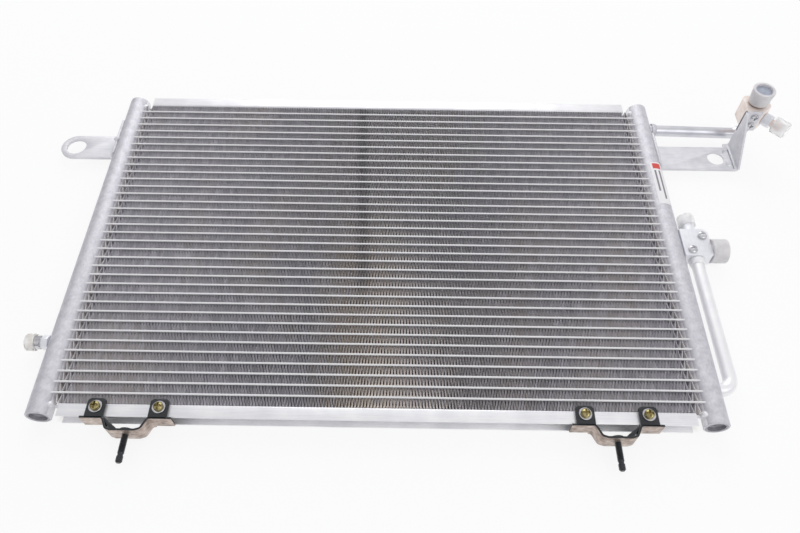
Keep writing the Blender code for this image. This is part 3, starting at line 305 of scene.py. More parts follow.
@dataclass(frozen=True)
class FinFinish:
    """Thin corrugated fin stock: dull grey, with stains and louvred walls, a leaning streak of
    painted shade, a tan patch of painted light, pale last folds and painted shadow under each tube.
    """

    name: str
    middle: Point
    pale: str = "EFEDF1"
    grey: str = "D4D2D8"
    # tan colours both the real stains and the patch of painted light
    tan: str = "F0E4D8"
    # shade colours the leaning streak of painted shade
    shade: str = "96939A"
    shadow: str = "3E3F50"
    bright_end: str = "EFEAE6"
    shadow_power: float = 6.0
    pitch: float = 10.2 * MM
    louvre: float = 1.3 * MM
    stain: tuple[float, float, float] = (60.0, 140.0, 40.0)
    fold: tuple[float, float, float] = (2.2, 14.0, 60.0)
    # Leaning streak of painted shade across the folds: place, lean, width, strength and fade
    streak_at: float = 20.2 * MM
    streak_lean: float = 0.0448
    streak: float = 9.0 * MM
    streak_share: float = 0.55
    streak_from: Point = (-90.0 * MM, -50.0 * MM)
    # Reach and height span of the tan patch of painted light
    light_patch_reach: float = 52.0 * MM
    light_patch_height: Point = (60.0 * MM, -90.0 * MM)
    end_zone: Point = (269.0 * MM, 274.0 * MM)
    end_share: float = 0.75

    def build(self) -> Material:
        """Make the material.

        Returns:
            The finished material.
        """
        surface = Surface(self.name)
        add = surface.add
        stain = surface.noise(self.stain, 2.0)
        folds = surface.noise(self.fold, 3.0)
        spot = surface.place()
        along = add(MATH, [spot["X"], self.middle[0]], operation="SUBTRACT")
        up = add(MATH, [spot["Y"], self.middle[1]], operation="SUBTRACT")
        # Distance from the leaning streak of painted shade, which is also the middle of the patch
        # of painted light
        start = add(MATH, [along, self.streak_at], operation="ADD")
        across = add(MATH, [up, self.streak_lean, start], operation="MULTIPLY_ADD")
        away = add(MATH, [across], operation="ABSOLUTE")
        # Streak of painted shade, fading out towards the bottom
        near = add(RANGE, [away, 0.2 * self.streak, self.streak, self.streak_share, 0.0])
        streak_shade = add(MATH, [near, add(RANGE, [up, *self.streak_from])], operation="MULTIPLY")
        # Patch of painted light around the streak, stronger lower down
        around = add(RANGE, [away, 0.3 * self.light_patch_reach, self.light_patch_reach, 1.0, 0.0])
        height = add(RANGE, [up, *self.light_patch_height, 0.2, 1.0])
        light_patch = add(MATH, [around, height], operation="MULTIPLY")
        # Real stains and the patch of painted light, both tinted tan
        spots = add(RANGE, [stain, 0.5, 0.7, 0.0, 0.35])
        stains_and_light = add(MATH, [spots, light_patch], operation="MAXIMUM")
        colour = surface.blended(stains_and_light, 0.0, 1.0, self.grey, self.tan)
        colour = surface.blended(folds, 0.38, 0.68, colour, self.pale)
        colour = surface.blended(streak_shade, 0.0, 1.0, colour, self.shade)
        # Pale last folds beside the headers
        outer = add(MATH, [along], operation="ABSOLUTE")
        ends = add(RANGE, [outer, *self.end_zone, 0.0, self.end_share])
        colour = surface.blended(ends, 0.0, 1.0, colour, self.bright_end)
        # Painted shadow on the upper part of every strip, below its tube
        row = add(MATH, [up, self.pitch], operation="DIVIDE")
        row = add(MATH, [row], operation="FRACT")
        under = add(MATH, [row, self.shadow_power], operation="POWER")
        colour = surface.blended(under, 0.0, 1.0, colour, self.shadow)
        turn = add(MATH, [spot["Z"], math.tau / self.louvre], operation="MULTIPLY")
        slats = add(MATH, [turn], operation="SINE")
        return surface.finished(colour, folds, (0.38, 0.60), slats, (0.5, 0.2), {"Metallic": 0.25})


@dataclass(frozen=True)
class CapFinish:
    """Milky polyethylene, which lets a little light through and scatters it."""

    name: str
    colours: tuple[str, str]
    clear: float = 0.18
    bend: float = 1.51
    frost: Point = (0.32, 0.46)

    def build(self) -> Material:
        """Make the material.

        Returns:
            The finished material.
        """
        surface = Surface(self.name)
        cloud = surface.noise((6.0, 6.0, 6.0), 3.0)
        colour = surface.blended(cloud, 0.35, 0.7, *self.colours)
        return surface.finished(colour, cloud, self.frost, cloud, (0.1, 0.2), {
            "IOR": self.bend, "Transmission Weight": self.clear, "Subsurface Weight": 0.35,
            "Subsurface Radius": (1.0, 1.0, 1.0), "Subsurface Scale": 2.0 * MM})


@dataclass(frozen=True)
class CoatFinish:
    """Glossy black dip coat over pressed steel, with faint orange peel."""

    name: str
    colours: tuple[str, str]

    def build(self) -> Material:
        """Make the material.

        Returns:
            The finished material.
        """
        surface = Surface(self.name)
        peel = surface.noise((1.2, 1.2, 1.2), 2.0)
        wear = surface.noise((9.0, 9.0, 9.0), 4.0)
        colour = surface.blended(wear, 0.45, 0.75, *self.colours)
        return surface.finished(colour, wear, (0.18, 0.34), peel, (0.12, 0.1), {
            "IOR": 1.52, "Coat Weight": 0.25, "Coat Roughness": 0.12})


@dataclass(frozen=True)
class LabelFinish:
    """White sticker with a plain red block and plain grey bars, read from its UV map."""

    name: str
    paper: str = "F0EFF0"
    red: str = "D8504A"
    grey: str = "85858B"
    # Middle and half size of each printed rectangle, across and along the sticker
    block: tuple[float, ...] = (0.50, 0.34, 0.905, 0.065)
    bars: tuple[tuple[float, ...], ...] = ((0.29, 0.07, 0.55, 0.25), (0.64, 0.08, 0.46, 0.34))

    def build(self) -> Material:
        """Make the material.

        Returns:
            The finished material.
        """
        surface = Surface(self.name)
        spot = surface.place("UV")
        masks = []
        for x, half_x, y, half_y in (self.block, *self.bars):
            across = surface.add(MATH, [spot["X"], x, half_x], operation="COMPARE")
            along = surface.add(MATH, [spot["Y"], y, half_y], operation="COMPARE")
            masks.append(surface.add(MATH, [across, along], operation="MULTIPLY"))
        bars = surface.add(MATH, masks[1:], operation="MAXIMUM")
        colour = surface.blended(bars, 0.0, 1.0, self.paper, self.grey)
        colour = surface.blended(masks[0], 0.0, 1.0, colour, self.red)
        return surface.finished(colour, surface.noise((0.8, 0.8, 0.8), 3.0), (0.42, 0.55))


@dataclass(frozen=True)
class FloorFinish:
    """White studio floor; a dim tan under the core stands in for the shadow between the folds."""

    name: str
    low: Point
    high: Point
    soft: float = 14.0 * MM
    colour: str = "F4F4F4"
    shaded: str = "C2B8AE"
    glow: float = 0.85

    def build(self) -> Material:
        """Make the material.

        Returns:
            The finished material.
        """
        surface = Surface(self.name, "ShaderNodeMixShader")
        add = surface.add
        path = add("ShaderNodeLightPath").outputs
        seen = path["Is Camera Ray"]
        for ray in ("Is Transmission Ray", "Is Glossy Ray"):
            seen = add(MATH, [seen, path[ray]], operation="MAXIMUM")
        share = add(MATH, [seen, self.glow], operation="MULTIPLY")
        spot = surface.place()
        gaps = []
        for axis, low, high in zip("XY", self.low, self.high):
            across = add(MATH, [spot[axis], (low + high) / 2.0], operation="SUBTRACT")
            away = add(MATH, [across], operation="ABSOLUTE")
            gaps.append(add(MATH, [away, (high - low) / 2.0], operation="SUBTRACT"))
        outside = add(MATH, gaps, operation="MAXIMUM")
        shown = surface.blended(outside, -self.soft, 0.0, self.shaded, "FFFFFF")
        matt = add("ShaderNodeBsdfDiffuse", [linear(self.colour)])
        light = add("ShaderNodeEmission", [shown, 1.0])
        for socket, node in zip(surface.shader.inputs, (share, matt, light)):
            surface.tree.links.new(node.outputs[0], socket)
        return surface.material


class Finish(Enum):
    """Finishes of the coil. What each gives the eye stands beside it."""

    # Corrugated sheet, brazed in a furnace: dull grey with stains, plus painted shade and painted
    # light across the folds
    FIN = FinFinish("brazed_fin_stock", tuple(core_centre().xy))
    # Extruded flat tube: pale satin nose along its length
    TUBE = MetalFinish("extruded_flat_tube", ("F4F2F6", "E0DEE4"), (0.22, 0.32),
                       (20.0, 0.8, 0.8), 30.0, metallic=0.95)
    # Flat sides of the tubes: deep grey, painted shade between the folds
    TUBE_FLAT = MetalFinish("fluxed_tube_flat", ("5C5D68", "484954"), (0.55, 0.70),
                            (3.0, 3.0, 3.0), 12.0, metallic=0.4)
    # Brazed header: satin grey, with cloudy flux residue
    HEADER = MetalFinish("brazed_header_aluminium", ("DFDEE3", "CBCAD0"), (0.50, 0.62),
                         (1.8, 3.0, 1.8), 7.0, metallic=0.7)
    # Header flank that faces the core, between the tube slots: paler and more diffuse, a painted
    # highlight for the light that falls there
    HEADER_JOINT = MetalFinish("fluxed_header_joint", ("FAFAFC", "E8E7EC"), (0.50, 0.62),
                               (1.8, 3.0, 1.8), 7.0, metallic=0.25)
    # End cups: darker, painted shade inside the header's open ends
    CUP = MetalFinish("dulled_end_cup", ("B9B8BD", "9C9BA1"), (0.45, 0.60),
                      (1.8, 1.8, 1.8), 5.0, metallic=0.7)
    # Rolled sheet: bright, with streaks along X
    SHEET = MetalFinish("rolled_aluminium_sheet", ("FBFBFC", "E8E8EB"), (0.40, 0.52),
                        (30.0, 0.9, 3.0), 24.0, metallic=0.6)
    # Thicker pressed sheet: duller than the rolled one
    PRESSED = MetalFinish("pressed_aluminium_plate", ("E8E8EB", "D5D5DA"), (0.52, 0.64),
                          (24.0, 1.2, 3.0), 16.0, metallic=0.6)
    # Drawn pipe: clean and bright
    PIPE = MetalFinish("drawn_aluminium_pipe", ("DDDDE2", "CDCDD4"), (0.28, 0.34),
                       (14.0, 14.0, 14.0), 26.0, 0.02, 0.9)
    # Annealed pipe of the outlet: matt and nearly white
    WHITE_PIPE = MetalFinish("annealed_aluminium_pipe", ("FFFFFF", "F1F1F4"), (0.36, 0.46),
                             (14.0, 14.0, 14.0), 26.0, 0.02, 0.5)
    # Milled block: bright, with fine tool marks
    BLOCK = MetalFinish("milled_aluminium_block", ("FAFBFE", "EAEBF0"), (0.34, 0.48),
                        (1.4, 6.0, 6.0), 14.0, metallic=0.55)
    # Warm cast on the inlet fitting, from the brazing flame
    WARM_BLOCK = MetalFinish("flame_brazed_fitting", ("FBF2EC", "EEDFD6"), (0.40, 0.54),
                             (3.0, 3.0, 5.0), 10.0, metallic=0.55)
    # Brass neck under the inlet cap: dull brown
    BRASS = MetalFinish("turned_brass", ("9A7A62", "66493A"), (0.30, 0.45), (0.6, 0.6, 0.6), 4.0)
    # Yellow-passivated zinc: gold with a rainbow hint
    ZINC = MetalFinish("yellow_passivated_zinc", ("C4B684", "6E6540"), (0.16, 0.28),
                       (1.0, 1.0, 1.0), 3.0, metallic=0.95)
    # Bright zinc-plated steel
    STEEL = MetalFinish("bright_plated_steel", ("E2E2E4", "B4B4B8"), (0.08, 0.18),
                        (0.8, 0.8, 0.8), 5.0, metallic=1.0)
    # Push-on cap: milky, slightly see-through
    CAP = CapFinish("milky_polyethylene", ("F2F0F0", "E4E2E4"))
    # Cap end over the port's bore: blue-grey, painted shade for the unlit bore behind it
    CAP_END = CapFinish("milky_polyethylene_over_bore", ("B8BECC", "A1A8B7"), 0.05)
    # Thin-walled small caps: nearly clear
    THIN_CAP = CapFinish("thin_polyethylene", ("FFFFFF", "FFFFFF"), 0.66, 1.16, (0.55, 0.69))
    # Warmer thin cap on the pressure port
    WARM_CAP = CapFinish("aged_polyethylene", ("FFFFFF", "FFFBF4"), 0.62, 1.2, (0.55, 0.69))
    # Dip-coated foot: glossy black
    COAT = CoatFinish("black_dip_coat", ("12151B", "1E2127"))
    # Outer faces of the feet: pale bronze, a painted reflection of the floor in the black coat
    THIN_COAT = MetalFinish("thin_coat_over_steel", ("DACBC1", "84746B"), (0.34, 0.46),
                            (6.0, 6.0, 1.5), 7.0, 0.1, 0.75)
    # Sticker: white paper with plain print
    LABEL = LabelFinish("printed_paper_label")
    # Floor under the coil
    FLOOR = FloorFinish("white_studio_floor",
                        (Span.of("left_header").high.x, Span.of("left_header").low.y),
                        (Span.of("right_header").low.x, Span.of("right_header").high.y))

    @cache
    def material(self) -> Material:
        """The finish's material, built once."""
        return self.value.build()


# Meshes

def closed(mesh: Mesh, placing: Matrix) -> Mesh:
    """Place a closed mesh and turn its faces outwards.

    Args:
        mesh: What is placed.
        placing: Where it goes.

    Returns:
        The same mesh.
    """
    mesh.transform(placing)
    bmesh.ops.recalc_face_normals(mesh, faces=mesh.faces)
    return mesh


def turned(profile: Outline, segments: int, placing: Matrix = Matrix()) -> Mesh:
    """Closed solid turned from a closed outline of radius and height.

    Args:
        profile: Points of radius and height, in order round the outline.
        segments: Sides of the round.
        placing: Where the solid goes; its axis is Z before.

    Returns:
        The mesh.
    """
    mesh = bmesh.new()
    rings = []
    for radius, height in profile:
        if radius <= 0.0:
            rings.append([mesh.verts.new((0.0, 0.0, height))] * segments)
            continue
        steps = (math.tau * i / segments for i in range(segments))
        rings.append([mesh.verts.new((radius * math.cos(a), radius * math.sin(a), height))
                      for a in steps])
    for near, far in zip(rings, rings[1:] + rings[:1]):
        for i in range(segments):
            j = (i + 1) % segments
            corners = list(dict.fromkeys((near[i], near[j], far[j], far[i])))
            if len(corners) > 2:
                mesh.faces.new(corners)
    return closed(mesh, placing)


def prism(outline: Outline, low: float, high: float, placing: Matrix = Matrix()) -> Mesh:
    """Closed solid between two heights over an outline.

    Args:
        outline: Points in the XY plane.
        low: Lower height.
        high: Upper height.
        placing: Where the solid goes.

    Returns:
        The mesh.
    """
    mesh = bmesh.new()
    floor, roof = ([mesh.verts.new((x, y, z)) for x, y in outline] for z in (low, high))
    mesh.faces.new(floor)
    mesh.faces.new(roof)
    for i in range(len(outline)):
        j = (i + 1) % len(outline)
        mesh.faces.new((floor[i], floor[j], roof[j], roof[i]))
    return closed(mesh, placing)


def bent(line: Outline, thickness: float, low: float, high: float,
         placing: Matrix = Matrix()) -> Mesh:
    """Sheet of even thickness bent along a line, between two heights.

    Args:
        line: Centre line in the XY plane.
        thickness: Thickness of the sheet.
        low: Lower edge.
        high: Upper edge.
        placing: Where the sheet goes.

    Returns:
        The mesh.
    """
    mesh = bmesh.new()
    path = [Vector(point) for point in line]
    headings = [(b - a).normalized() for a, b in zip(path, path[1:])]
    stations = []
    for i, point in enumerate(path):
        before = headings[max(i - 1, 0)]
        after = headings[min(i, len(headings) - 1)]
        normal = Vector((-before.y - after.y, before.x + after.x)).normalized()
        reach = thickness / 2.0 / max(normal.dot(Vector((-after.y, after.x))), 0.2)
        left = point + normal * reach
        right = point - normal * reach
        corners = ((left, low), (right, low), (right, high), (left, high))
        stations.append([mesh.verts.new((*spot, height)) for spot, height in corners])
    for near, far in zip(stations, stations[1:]):
        for i in range(4):
            j = (i + 1) % 4
            mesh.faces.new((near[i], near[j], far[j], far[i]))
    mesh.faces.new(stations[0])
    mesh.faces.new(stations[-1])
    return closed(mesh, placing)


def pipe(points: Sequence[Vector], outer: float, inner: float, segments: int = 32) -> Mesh:
    """Open pipe along a line that stays in one plane.

    Args:
        points: The line.
        outer: Outer radius.
        inner: Inner radius.
        segments: Sides of the round.

    Returns:
        The mesh.
    """
    mesh = bmesh.new()
    headings = [(b - a).normalized() for a, b in zip(points, points[1:])]
    turns = (a.cross(b) for a, b in zip(headings, headings[1:]))
    side = next((turn for turn in turns if turn.length > 1e-6), Z_AXIS).normalized()
    angles = [math.tau * k / segments for k in range(segments)]
    stations = []
    for i, point in enumerate(points):
        after = headings[min(i, len(headings) - 1)]
        heading = (headings[max(i - 1, 0)] + after).normalized()
        across = heading.cross(side) / heading.dot(after)
        stations.append([[
            mesh.verts.new(point + (side * math.cos(a) + across * math.sin(a)) * radius)
            for a in angles] for radius in (outer, inner)])
    for k in range(segments):
        n = (k + 1) % segments
        for near, far in zip(stations, stations[1:]):
            for layer in (0, 1):
                mesh.faces.new((near[layer][k], near[layer][n], far[layer][n], far[layer][k]))
        for outside, inside in (stations[0], stations[-1]):
            mesh.faces.new((outside[k], outside[n], inside[n], inside[k]))
    return closed(mesh, Matrix())


# Outlines and lines

def rectangle(low_x: float, low_y: float, high_x: float, high_y: float) -> list[Point]:
    """Corners of a rectangle."""
    return [(low_x, low_y), (high_x, low_y), (high_x, high_y), (low_x, high_y)]


def rod(radius: float, low: float, high: float) -> list[Point]:
    """Outline of a plain turned rod."""
    return rectangle(0.0, low, radius, high)


def arc(centre: Point, radius: float, start: float, end: float, steps: int) -> list[Point]:
    """Points of an arc.

    Args:
        centre: Middle of the arc.
        radius: Its radius.
        start: First angle, in degrees.
        end: Last angle, in degrees.
        steps: Number of chords.

    Returns:
        The points, both ends included.
    """
    angles = (math.radians(start + (end - start) * step / steps) for step in range(steps + 1))
    return [(centre[0] + radius * math.cos(a), centre[1] + radius * math.sin(a)) for a in angles]


def corner_arc(before: Vector, corner: Vector, after: Vector, radius: float,
               steps: int) -> list[Vector]:
    """Arc that rounds one corner of a line.

    Args:
        before: Point before the corner.
        corner: The corner.
        after: Point after it.
        radius: Radius of the arc.
        steps: Number of chords.

    Returns:
        The points, both ends included.
    """
    back = (before - corner).normalized()
    ahead = (after - corner).normalized()
    half = back.angle(ahead) / 2.0
    middle = corner + (back + ahead).normalized() * radius / math.sin(half)
    start = corner + back * radius / math.tan(half) - middle
    axis = back.cross(start).normalized()
    sweep = math.pi - 2.0 * half
    return [middle + Matrix.Rotation(sweep * step / steps, 3, axis) @ start
            for step in range(steps + 1)]


def rounded(points: Outline, radii: Sequence[float], steps: int = 6) -> list[Point]:
    """Outline or line with its corners rounded.

    Args:
        points: Corners, in millimetres or metres as the radii are.
        radii: Radius at each corner; 0 keeps it.
        steps: Chords in each rounding.

    Returns:
        The rounded points.
    """
    flat = [Vector((*point, 0.0)) for point in points]
    result: list[Point] = []
    for i, (corner, radius) in enumerate(zip(flat, radii)):
        ahead = flat[(i + 1) % len(flat)]
        arc_points = corner_arc(flat[i - 1], corner, ahead, radius, steps) if radius else [corner]
        result += [(spot.x, spot.y) for spot in arc_points]
    return result


def threaded(radius: float, low: float, high: float, pitch: float) -> list[Point]:
    """Outline of a thread as a row of ridges.

    Args:
        radius: Outer radius.
        low: Where it starts.
        high: Where it ends.
        pitch: Distance between ridges.

    Returns:
        Points of radius and height.
    """
    root = radius - 0.45 * pitch
    points: list[Point] = []
    for i in range(int((high - low) / pitch)):
        base = low + i * pitch
        points += [(root, base), (radius, base + 0.4 * pitch), (radius, base + 0.6 * pitch)]
    return points + [(root, high)]


# Pieces

def piece_object(name: str, mesh: Mesh) -> bpy.types.Object:
    """Make an object at the origin from a mesh and free the mesh.

    Args:
        name: The object's name.
        mesh: What it is made from.

    Returns:
        The object.
    """
    data = bpy.data.meshes.new(name)
    mesh.to_mesh(data)
    mesh.free()
    item = bpy.data.objects.new(name, data)
    bpy.context.scene.collection.objects.link(item)
    return item


def baked(item: bpy.types.Object) -> bpy.types.Object:
    """Replace an object's mesh by what its modifiers make of it.

    Args:
        item: Object with live modifiers.

    Returns:
        The same object, with a plain mesh and no modifier.
    """
    bpy.context.view_layer.update()
    graph = bpy.context.evaluated_depsgraph_get()
    data = bpy.data.meshes.new_from_object(item.evaluated_get(graph), depsgraph=graph)
    data.name = item.name
    item.modifiers.clear()
    item.data = data
    return item


def taken(items: Iterable[bpy.types.Object]) -> Mesh:
    """Put the meshes of plain objects into one and remove the objects.

    Args:
        items: Objects at the origin, with no modifiers.

    Returns:
        The mesh of all.
    """
    whole = bmesh.new()
    for item in items:
        whole.from_mesh(item.data)
        bpy.data.objects.remove(item)
    return whole


def gathered(*meshes: Mesh) -> Mesh:
    """Put several meshes into one."""
    return taken(piece_object("loose", mesh) for mesh in meshes)


def cut(mesh: Mesh, *cutters: Mesh) -> Mesh:
    """Cut solids out of a mesh.

    Args:
        mesh: What is cut.
        cutters: Solids to take away.

    Returns:
        The cut mesh.
    """
    item = piece_object("cut_piece", mesh)
    tools = [piece_object("cutter", cutter) for cutter in cutters]
    for tool in tools:
        modifier = item.modifiers.new("cut", "BOOLEAN")
        modifier.operation = "DIFFERENCE"
        modifier.solver = "EXACT"
        modifier.object = tool
    result = taken([baked(item)])
    for tool in tools:
        bpy.data.objects.remove(tool)
    return result


def softened(mesh: Mesh, width: float, segments: int = 2) -> Mesh:
    """Round a mesh's sharp edges.

    Args:
        mesh: What is rounded.
        width: Width of the rounding, in millimetres.
        segments: Faces across it.

    Returns:
        The rounded mesh.
    """
    item = piece_object("soft_piece", mesh)
    modifier = item.modifiers.new("edges", "BEVEL")
    modifier.width = width * MM
    modifier.segments = segments
    modifier.limit_method = "ANGLE"
    modifier.angle_limit = BEVEL_ANGLE
    return taken([baked(item)])


def dress(item: bpy.types.Object, finish: Finish, slot: Slot, *nodes: str,
          other: Finish | None = None, where: Callable[[Any], bool] = bool) -> None:
    """Give a finished piece its materials, and hide the nodes that it stands for.

    Args:
        item: The piece; one that has its material already keeps it.
        finish: Its finish.
        slot: The record's slot; not used.
        nodes: CAD nodes that it replaces.
        other: Finish of some of its faces.
        where: Which faces those are.
    """
    data = item.data
    if not data.materials:
        data.materials.append(finish.material())
    if other:
        data.materials.append(other.material())
        for face in data.polygons:
            face.material_index = int(where(face))
    data.shade_smooth()
    data.set_sharp_from_angle(angle=SMOOTH_ANGLE)
    if nodes:
        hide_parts(*nodes)
    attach(item, "root")
    data.calc_loop_triangles()
    LOG.info("%s: %d triangles, for %s", item.name, len(data.loop_triangles),
             ", ".join(nodes) or "no node")


def add_piece(name: str, mesh: Mesh, *looks: Any, **more: Any) -> None:
    """Make a finished piece from a mesh and dress it."""
    dress(piece_object(name, mesh), *looks, **more)


# Core

class GeometryTree:
    """A Geometry Nodes tree with named inputs, whose result is turned into a plain mesh."""

    def __init__(self, name: str, asked: dict[str, str]) -> None:
        """Start a tree with its inputs and output.

        Args:
            name: The tree's name.
            asked: Name and socket kind of each input beside the geometry and the material.
        """
        self.tree = bpy.data.node_groups.new(name, "GeometryNodeTree")
        self.add = partial(add_node, self.tree)
        self.identifiers: dict[str, str] = {}
        for key, kind in {"Geometry": "Geometry", **asked, "Material": "Material"}.items():
            socket = self.tree.interface.new_socket(key, in_out="INPUT",
                                                    socket_type=f"NodeSocket{kind}")
            self.identifiers[key] = socket.identifier
        self.tree.interface.new_socket("Geometry", in_out="OUTPUT",
                                       socket_type="NodeSocketGeometry")
        self.start = self.add("NodeGroupInput").outputs

    def solid(self, mesh: bpy.types.Node, inputs: dict[str, Any]) -> bpy.types.Node:
        """Extrude faces into a closed solid.

        Args:
            mesh: Node of the faces.
            inputs: Length or direction of the extrusion.

        Returns:
            The solid's node.
        """
        walls = self.add("GeometryNodeExtrudeMesh",
                         {"Mesh": mesh, "Individual": False, **inputs}, mode="FACES")
        back = self.add("GeometryNodeFlipFaces", [mesh])
        both = self.add("GeometryNodeJoinGeometry", [walls])
        self.tree.links.new(back.outputs[0], both.inputs[0])
        return self.add("GeometryNodeMergeByDistance", {"Geometry": both, "Distance": 0.001 * MM})

    def stacked(self, piece: bpy.types.Node) -> bpy.types.Node:
        """Copies of a piece, one over the other.

        Args:
            piece: Node of the piece.

        Returns:
            The node of the copies.
        """
        rows = self.add("GeometryNodeMeshLine", {
            "Count": self.start["Rows"], "Start Location": self.start["First"],
            "Offset": self.start["Step"]}, mode="OFFSET")
        return self.add("GeometryNodeInstanceOnPoints", {"Points": rows, "Instance": piece})

    def finish(self, geometry: bpy.types.Node) -> None:
        """End the tree with Realize Instances and Set Material.

        Args:
            geometry: Node of what the tree made.
        """
        real = self.add("GeometryNodeRealizeInstances", [geometry])
        painted = {"Geometry": real, "Material": self.start["Material"]}
        self.add("NodeGroupOutput", [self.add("GeometryNodeSetMaterial", painted)])

    def run(self, name: str, finish: Finish, values: dict[str, Any],
            base: Mesh | None = None) -> bpy.types.Object:
        """Run the tree on an object and keep the plain mesh.

        Args:
            name: Name of the new piece.
            finish: Its finish.
            values: Values of the named inputs.
            base: Mesh that the modifier starts from.

        Returns:
            The piece, with no modifier.
        """
        item = piece_object(name, base or bmesh.new())
        modifier = item.modifiers.new("shape", "NODES")
        modifier.node_group = self.tree
        for key, value in {**values, "Material": finish.material()}.items():
            modifier[self.identifiers[key]] = value
        return baked(item)


def fin_tree() -> GeometryTree:
    """Tree of corrugated fin strips, one over the other.

    Returns:
        The tree; every fold has four lines of points, so that its crests are flat.
    """
    shape = GeometryTree("fin_strips", {
        "Half length": "Float", "Depth": "Float", "Fold height": "Float", "Folds": "Int",
        "Sheet": "Float", "First": "Vector", "Step": "Vector", "Rows": "Int", "Wander": "Float"})
    add, start = shape.add, shape.start
    columns = add(MATH, [start["Folds"], 4.0], operation="MULTIPLY")
    length = add(MATH, [start["Half length"], 2.0], operation="MULTIPLY")
    grid = add("GeometryNodeMeshGrid", {
        "Size X": length, "Size Y": start["Depth"], "Vertices X": columns, "Vertices Y": 2})
    spot = add("ShaderNodeSeparateXYZ", [add("GeometryNodeInputPosition")]).outputs
    from_end = add(MATH, [spot["X"], start["Half length"]], operation="ADD")
    along = add(MATH, [from_end, length], operation="DIVIDE")
    last = add(MATH, [columns, 1.0], operation="SUBTRACT")
    index = add(MATH, [along, last], operation="MULTIPLY")
    index = add(MATH, [index], operation="ROUND")
    quarter = add(MATH, [index, 4.0], operation="MODULO")
    upper = add(MATH, [quarter, 1.5], operation="LESS_THAN")
    level = add(MATH, [upper, 0.5], operation="SUBTRACT")
    level = add(MATH, [level, start["Fold height"]], operation="MULTIPLY")
    folded = add("ShaderNodeCombineXYZ", [spot["X"], level, spot["Y"]])
    zigzag = add("GeometryNodeSetPosition", {"Geometry": grid, "Position": folded})
    strip = shape.solid(zigzag, {"Offset Scale": start["Sheet"]})
    real = add("GeometryNodeRealizeInstances", [shape.stacked(strip)])
    noise = add("ShaderNodeTexNoise", {
        "Vector": add("GeometryNodeInputPosition"), "W": 3.7, "Scale": 1.0 / (5.0 * MM),
        "Detail": 1.0}, noise_dimensions="4D")
    shift = add(MATH, [noise, 0.5], operation="SUBTRACT")
    shift = add(MATH, [shift, start["Wander"]], operation="MULTIPLY")
    lean = add("ShaderNodeCombineXYZ", [shift])
    shape.finish(add("GeometryNodeSetPosition", {"Geometry": real, "Offset": lean}))
    return shape


def tube_tree() -> GeometryTree:
    """Tree of flat tubes with round noses, one over the other.

    Returns:
        The tree.
    """
    shape = GeometryTree("flat_tubes", {
        "Half length": "Float", "Depth": "Float", "Thickness": "Float", "First": "Vector",
        "Step": "Vector", "Rows": "Int"})
    add, start = shape.add, shape.start
    length = add(MATH, [start["Half length"], 2.0], operation="MULTIPLY")
    section = add("GeometryNodeCurvePrimitiveQuadrilateral", {
        "Width": start["Depth"], "Height": start["Thickness"]}, mode="RECTANGLE")
    nose = add(MATH, [start["Thickness"], 0.498], operation="MULTIPLY")
    soft = add("GeometryNodeFilletCurve", {"Curve": section, "Radius": nose, "Count": 5},
               mode="POLY")
    filled = add("GeometryNodeFillCurve", {"Curve": soft}, mode="NGONS")
    lift = add("ShaderNodeCombineXYZ", {2: length})
    tube = shape.solid(filled, {"Offset": lift, "Offset Scale": 1.0})
    back = add(MATH, [start["Half length"], -1.0], operation="MULTIPLY")
    laid = add("GeometryNodeTransform", {
        "Geometry": tube, "Translation": add("ShaderNodeCombineXYZ", [back]),
        "Rotation": Euler((0.0, math.pi / 2.0, 0.0))})
    shape.finish(shape.stacked(laid))
    return shape


